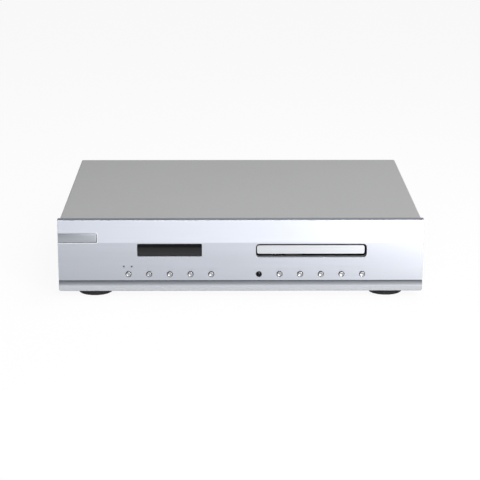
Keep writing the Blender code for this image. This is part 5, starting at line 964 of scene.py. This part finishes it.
def make_badge():
    """The bare badge plate with softened edges, a dark strip of painted shadow along its lower
    and right edges, and its pocket's bright edge.
    """
    low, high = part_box("badge_plate")
    middle, bottom = high.x - BADGE_SHADOW_WIDTH - BADGE_CORNER, low.z + BADGE_SHADOW_WIDTH
    outline = [(low.x, high.z), (low.x, bottom)]
    outline += corner_points(middle, bottom + BADGE_CORNER, BADGE_CORNER, -90)
    outline += corner_points(middle, high.z - BADGE_CORNER, BADGE_CORNER, 0)
    shape = bmesh.new()
    face = shape.faces.new([shape.verts.new((across, low.y, up)) for across, up in outline])
    wall = bmesh.ops.extrude_face_region(shape, geom=[face])
    moved = [part for part in wall["geom"] if isinstance(part, bmesh.types.BMVert)]
    bmesh.ops.translate(shape, verts=moved, vec=(0, high.y - low.y, 0))
    rim = [edge for edge in shape.edges if all(vert.co.y < low.y + 1e-6 for vert in edge.verts)]
    soften(shape, rim, BADGE_BEVEL)
    made = piece("badge_face", shape, "badge", "casework")
    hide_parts("badge_plate")
    # A dark strip along the lower and right edges: painted shadow of the raised plate
    make_pocket_strip("badge_painted_shadow", STRIP_PLAY - SEAT_GAP - BADGE_SHADOW_WIDTH, -STRIP_PLAY,
                      SHADOW_STRIP_DEPTH, "painted_shadow")
    make_pocket_strip("badge_pocket_edge", *POCKET_EDGE, -STRIP_CROWN, "bright_edge")


for number in BUTTON_NUMBERS:
    make_button(number)
for number in BUTTON_NUMBERS:
    middle = middle_of(f"button_{number}")
    make_ring(f"button_ring_{number}", (middle.x, FACE_Y + COLLAR_FACE, middle.z),
              COLLAR_RADII)
make_receiver()
make_display_glass()
make_badge()


# Cover, base and rear details

def base_screw_places():
    """Under the loader's four posts and the boards' eight."""
    loader_low, loader_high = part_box("loader_frame")
    places = []
    for across in (loader_low.x + BASE_SCREW_INSET, loader_high.x - BASE_SCREW_INSET):
        for depth in LOADER_SCREW_DEPTHS:
            places.append((across, FACE_Y + depth, BASE_BOTTOM))
    for board in ("main_board", "power_board"):
        low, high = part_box(board)
        for across in (low.x + BASE_SCREW_INSET, high.x - BASE_SCREW_INSET):
            for depth in (low.y + BASE_SCREW_INSET, high.y - BASE_SCREW_INSET):
                places.append((across, depth, BASE_BOTTOM))
    return places


def make_socket_trim(node, finish):
    """A socket's coloured collar on the rear panel and the insulator inside its mouth."""
    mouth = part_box(node)[1].y - MOUTH_SINK
    shape = bmesh.new()
    lathe(shape, [(radius, REAR_Y + out) for radius, out in SOCKET_COLLAR], closed=True)
    lathe(shape, [(radius, mouth + out) for radius, out in INSULATOR], FEW_SIDES, closed=True)
    stand(shape, (middle_of(node).x, 0, FOOT_TOP + SOCKET_UP), (0, 1, 0))
    piece(f"{node}_trim", shape, finish, "casework")


def make_inlet_pins():
    """Plated sleeves over the inlet's three pins, with chamfered ends."""
    middle, rear = middle_of("mains_inlet"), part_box("mains_inlet")[1].y
    half_across, half_up = PIN_HALVES
    deep, shallow = PIN_DEPTHS
    shape = bmesh.new()
    for across, up in PIN_PLACES:
        x, z = middle.x + across, middle.z + up
        rounded_box(shape, (x - half_across, rear - deep, z - half_up),
                    (x + half_across, rear - shallow, z + half_up), PIN_BEVEL)
    piece("inlet_pins", shape, "screw", "casework")


def make_optical_shutter():
    """The sprung door in the optical socket's mouth, with its hinge above."""
    across, up = middle_of("optical_socket").x, FOOT_TOP + SOCKET_UP
    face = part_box("optical_socket")[1].y - SHUTTER_SINK
    left, right = across - SHUTTER_HALF, across + SHUTTER_HALF
    door, hinge = SHUTTER_BEVELS
    shape = bmesh.new()
    rounded_box(shape, (left, face, up - SHUTTER_HALF),
                (right, face + SHUTTER_THICKNESS, up + SHUTTER_HALF), door)
    rounded_box(shape, (left, face, up + HINGE_UP[0]),
                (right, face + HINGE_THICKNESS, up + HINGE_UP[1]), hinge)
    piece("optical_shutter", shape, "black", "casework")


def make_rocker_marks():
    """The usual line and circle inlaid in the two halves of the rocker's face."""
    mesh = NODES["power_rocker"].data
    half_across, half_up = LINE_HALVES
    inner, outer = CIRCLE_RADII
    for name, side in (("rocker_line", 1), ("rocker_circle", -1)):
        half = [face for face in mesh.polygons
                if face.normal.y > ROCKER_FACE_LIMIT
                and face.normal.z * side > ROCKER_HALF_LIMIT]
        area = sum(face.area for face in half)
        normal = sum((face.normal * face.area for face in half), Vector()).normalized()
        middle = sum((face.center * face.area for face in half), Vector()) / area
        shape = bmesh.new()
        if side > 0:
            rounded_box(shape, (-half_across, -half_up, -MARK_SINK),
                        (half_across, half_up, MARK_PROUD), MARK_BEVEL)
        else:
            lathe(shape, [(inner, -MARK_SINK), (inner, MARK_PROUD), (outer, MARK_PROUD),
                          (outer, -MARK_SINK)], MARK_SIDES, closed=True)
        across = Vector((1, 0, 0))
        turn = Matrix((across, normal.cross(across), normal)).transposed().to_4x4()
        shape.transform(Matrix.Translation(middle) @ turn)
        piece(name, shape, "ivory", "power_rocker")


for side, name in ((-1, "left"), (1, "right")):
    make_screws(f"cover_screws_{name}",
                [(side * COVER_SIDE, FACE_Y + depth, FOOT_TOP + COVER_SCREW_UP)
                 for depth in COVER_SCREW_DEPTHS],
                (side, 0, 0), COVER_SCREW, "black_screw")
make_screws("rear_screws", [(across, REAR_Y, FOOT_TOP + up) for across, up in REAR_SCREW_PLACES],
            (0, 1, 0), REAR_SCREW, "screw")
make_screws("base_screws", base_screw_places(), (0, 0, -1), BASE_SCREW, "screw")
for name in NODE_FINISH["rubber"]:
    middle, bottom = middle_of(name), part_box(name)[0].z
    make_screws(f"{name}_screw", [(middle.x, middle.y, bottom + FOOT_SCREW_SINK)],
                (0, 0, -1), FOOT_SCREW, "screw")
make_socket_trim("output_socket_right", "red")
make_socket_trim("output_socket_left", "ivory")
make_socket_trim("digital_socket", "orange")
make_inlet_pins()
make_optical_shutter()
make_rocker_marks()


# Floor, light and camera

def make_floor():
    """A white floor that keeps the player's shadow."""
    shape = bmesh.new()
    bmesh.ops.create_grid(shape, x_segments=2, y_segments=2, size=FLOOR_HALF)
    mesh = mesh_of("floor", shape)
    floor = linked("floor", mesh)
    material = bpy.data.materials.new("floor_white")
    material.use_nodes = True
    tree = material.node_tree
    tree.nodes.clear()
    link = tree.links.new
    output = tree.nodes.new("ShaderNodeOutputMaterial")
    paper = tree.nodes.new("ShaderNodeBsdfDiffuse")
    paper.inputs["Color"].default_value = (FLOOR_PAPER, FLOOR_PAPER, FLOOR_PAPER, 1)
    white = tree.nodes.new("ShaderNodeEmission")
    white.inputs["Color"].default_value = (1, 1, 1, 1)
    white.inputs["Strength"].default_value = 1.0
    path = tree.nodes.new("ShaderNodeLightPath")
    seen = path.outputs["Is Camera Ray"]
    for ray in ("Is Glossy Ray", "Is Transmission Ray"):
        either = tree.nodes.new("ShaderNodeMath")
        either.operation = "MAXIMUM"
        link(seen, either.inputs[0])
        link(path.outputs[ray], either.inputs[1])
        seen = either.outputs[0]
    share = tree.nodes.new("ShaderNodeMath")
    share.operation = "MULTIPLY"
    share.inputs[1].default_value = FLOOR_WHITE
    link(seen, share.inputs[0])
    mix = tree.nodes.new("ShaderNodeMixShader")
    link(share.outputs[0], mix.inputs[0])
    link(paper.outputs[0], mix.inputs[1])
    link(white.outputs[0], mix.inputs[2])
    link(mix.outputs[0], output.inputs["Surface"])
    mesh.materials.append(material)


def make_lamp(name, place, target, width, height, power, colour):
    data = bpy.data.lights.new(name, "AREA")
    data.shape = "RECTANGLE"
    data.size = width
    data.size_y = height
    data.energy = power
    data.color = colour
    lamp = linked(name, data)
    lamp.location = place
    heading = Vector(target) - Vector(place)
    lamp.rotation_euler = heading.to_track_quat("-Z", "Y").to_euler()


def make_world():
    """A plain studio: pale at the front right, dim at the front left, grey elsewhere."""
    world = bpy.data.worlds.new("studio")
    bpy.context.scene.world = world
    world.use_nodes = True
    tree = world.node_tree
    tree.nodes.clear()
    output = tree.nodes.new("ShaderNodeOutputWorld")
    light = tree.nodes.new("ShaderNodeBackground")
    coords = tree.nodes.new("ShaderNodeTexCoord")
    split = tree.nodes.new("ShaderNodeSeparateXYZ")
    tree.links.new(coords.outputs["Generated"], split.inputs[0])

    def ramp(axis, start, end):
        node = tree.nodes.new("ShaderNodeMapRange")
        node.interpolation_type = "SMOOTHSTEP"
        node.inputs["From Min"].default_value = start
        node.inputs["From Max"].default_value = end
        tree.links.new(split.outputs[axis], node.inputs["Value"])
        return node.outputs[0]

    def blend(share, first, second):
        node = tree.nodes.new("ShaderNodeMix")
        node.data_type = "RGBA"
        tree.links.new(share, node.inputs[0])
        for socket, value in ((node.inputs[6], first), (node.inputs[7], second)):
            if isinstance(value, tuple):
                socket.default_value = (*value, 1)
            else:
                tree.links.new(value, socket)
        return node.outputs[2]

    front = blend(ramp("X", *WORLD_TURN), WORLD_LEFT, WORLD_RIGHT)
    level = blend(ramp("Y", *WORLD_DEPTH), front, WORLD_BACK)
    colour = blend(ramp("Z", *WORLD_RISE), level, WORLD_ABOVE)
    tree.links.new(colour, light.inputs["Color"])
    light.inputs["Strength"].default_value = 1.0
    tree.links.new(light.outputs[0], output.inputs["Surface"])


def make_camera():
    data = bpy.data.cameras.new("camera")
    data.sensor_width = SENSOR
    data.lens = CAMERA_LENS
    camera = linked("camera", data)
    pitch, yaw, roll = (radians(angle) for angle in (CAMERA_PITCH, CAMERA_YAW, CAMERA_ROLL))
    ahead = Vector((sin(yaw) * cos(pitch), cos(yaw) * cos(pitch), -sin(pitch)))
    right = ahead.cross(Vector((0, 0, 1))).normalized()
    upward = right.cross(ahead)
    rolled_right = cos(roll) * right + sin(roll) * upward
    rolled_up = cos(roll) * upward - sin(roll) * right
    turn = Matrix((rolled_right, rolled_up, -ahead)).transposed().to_4x4()
    camera.matrix_world = Matrix.Translation(CAMERA_PLACE) @ turn
    bpy.context.scene.camera = camera


make_floor()
make_world()
for name, settings in LAMPS.items():
    make_lamp(name, *settings)
make_camera()
bpy.context.scene.view_settings.view_transform = "Standard"
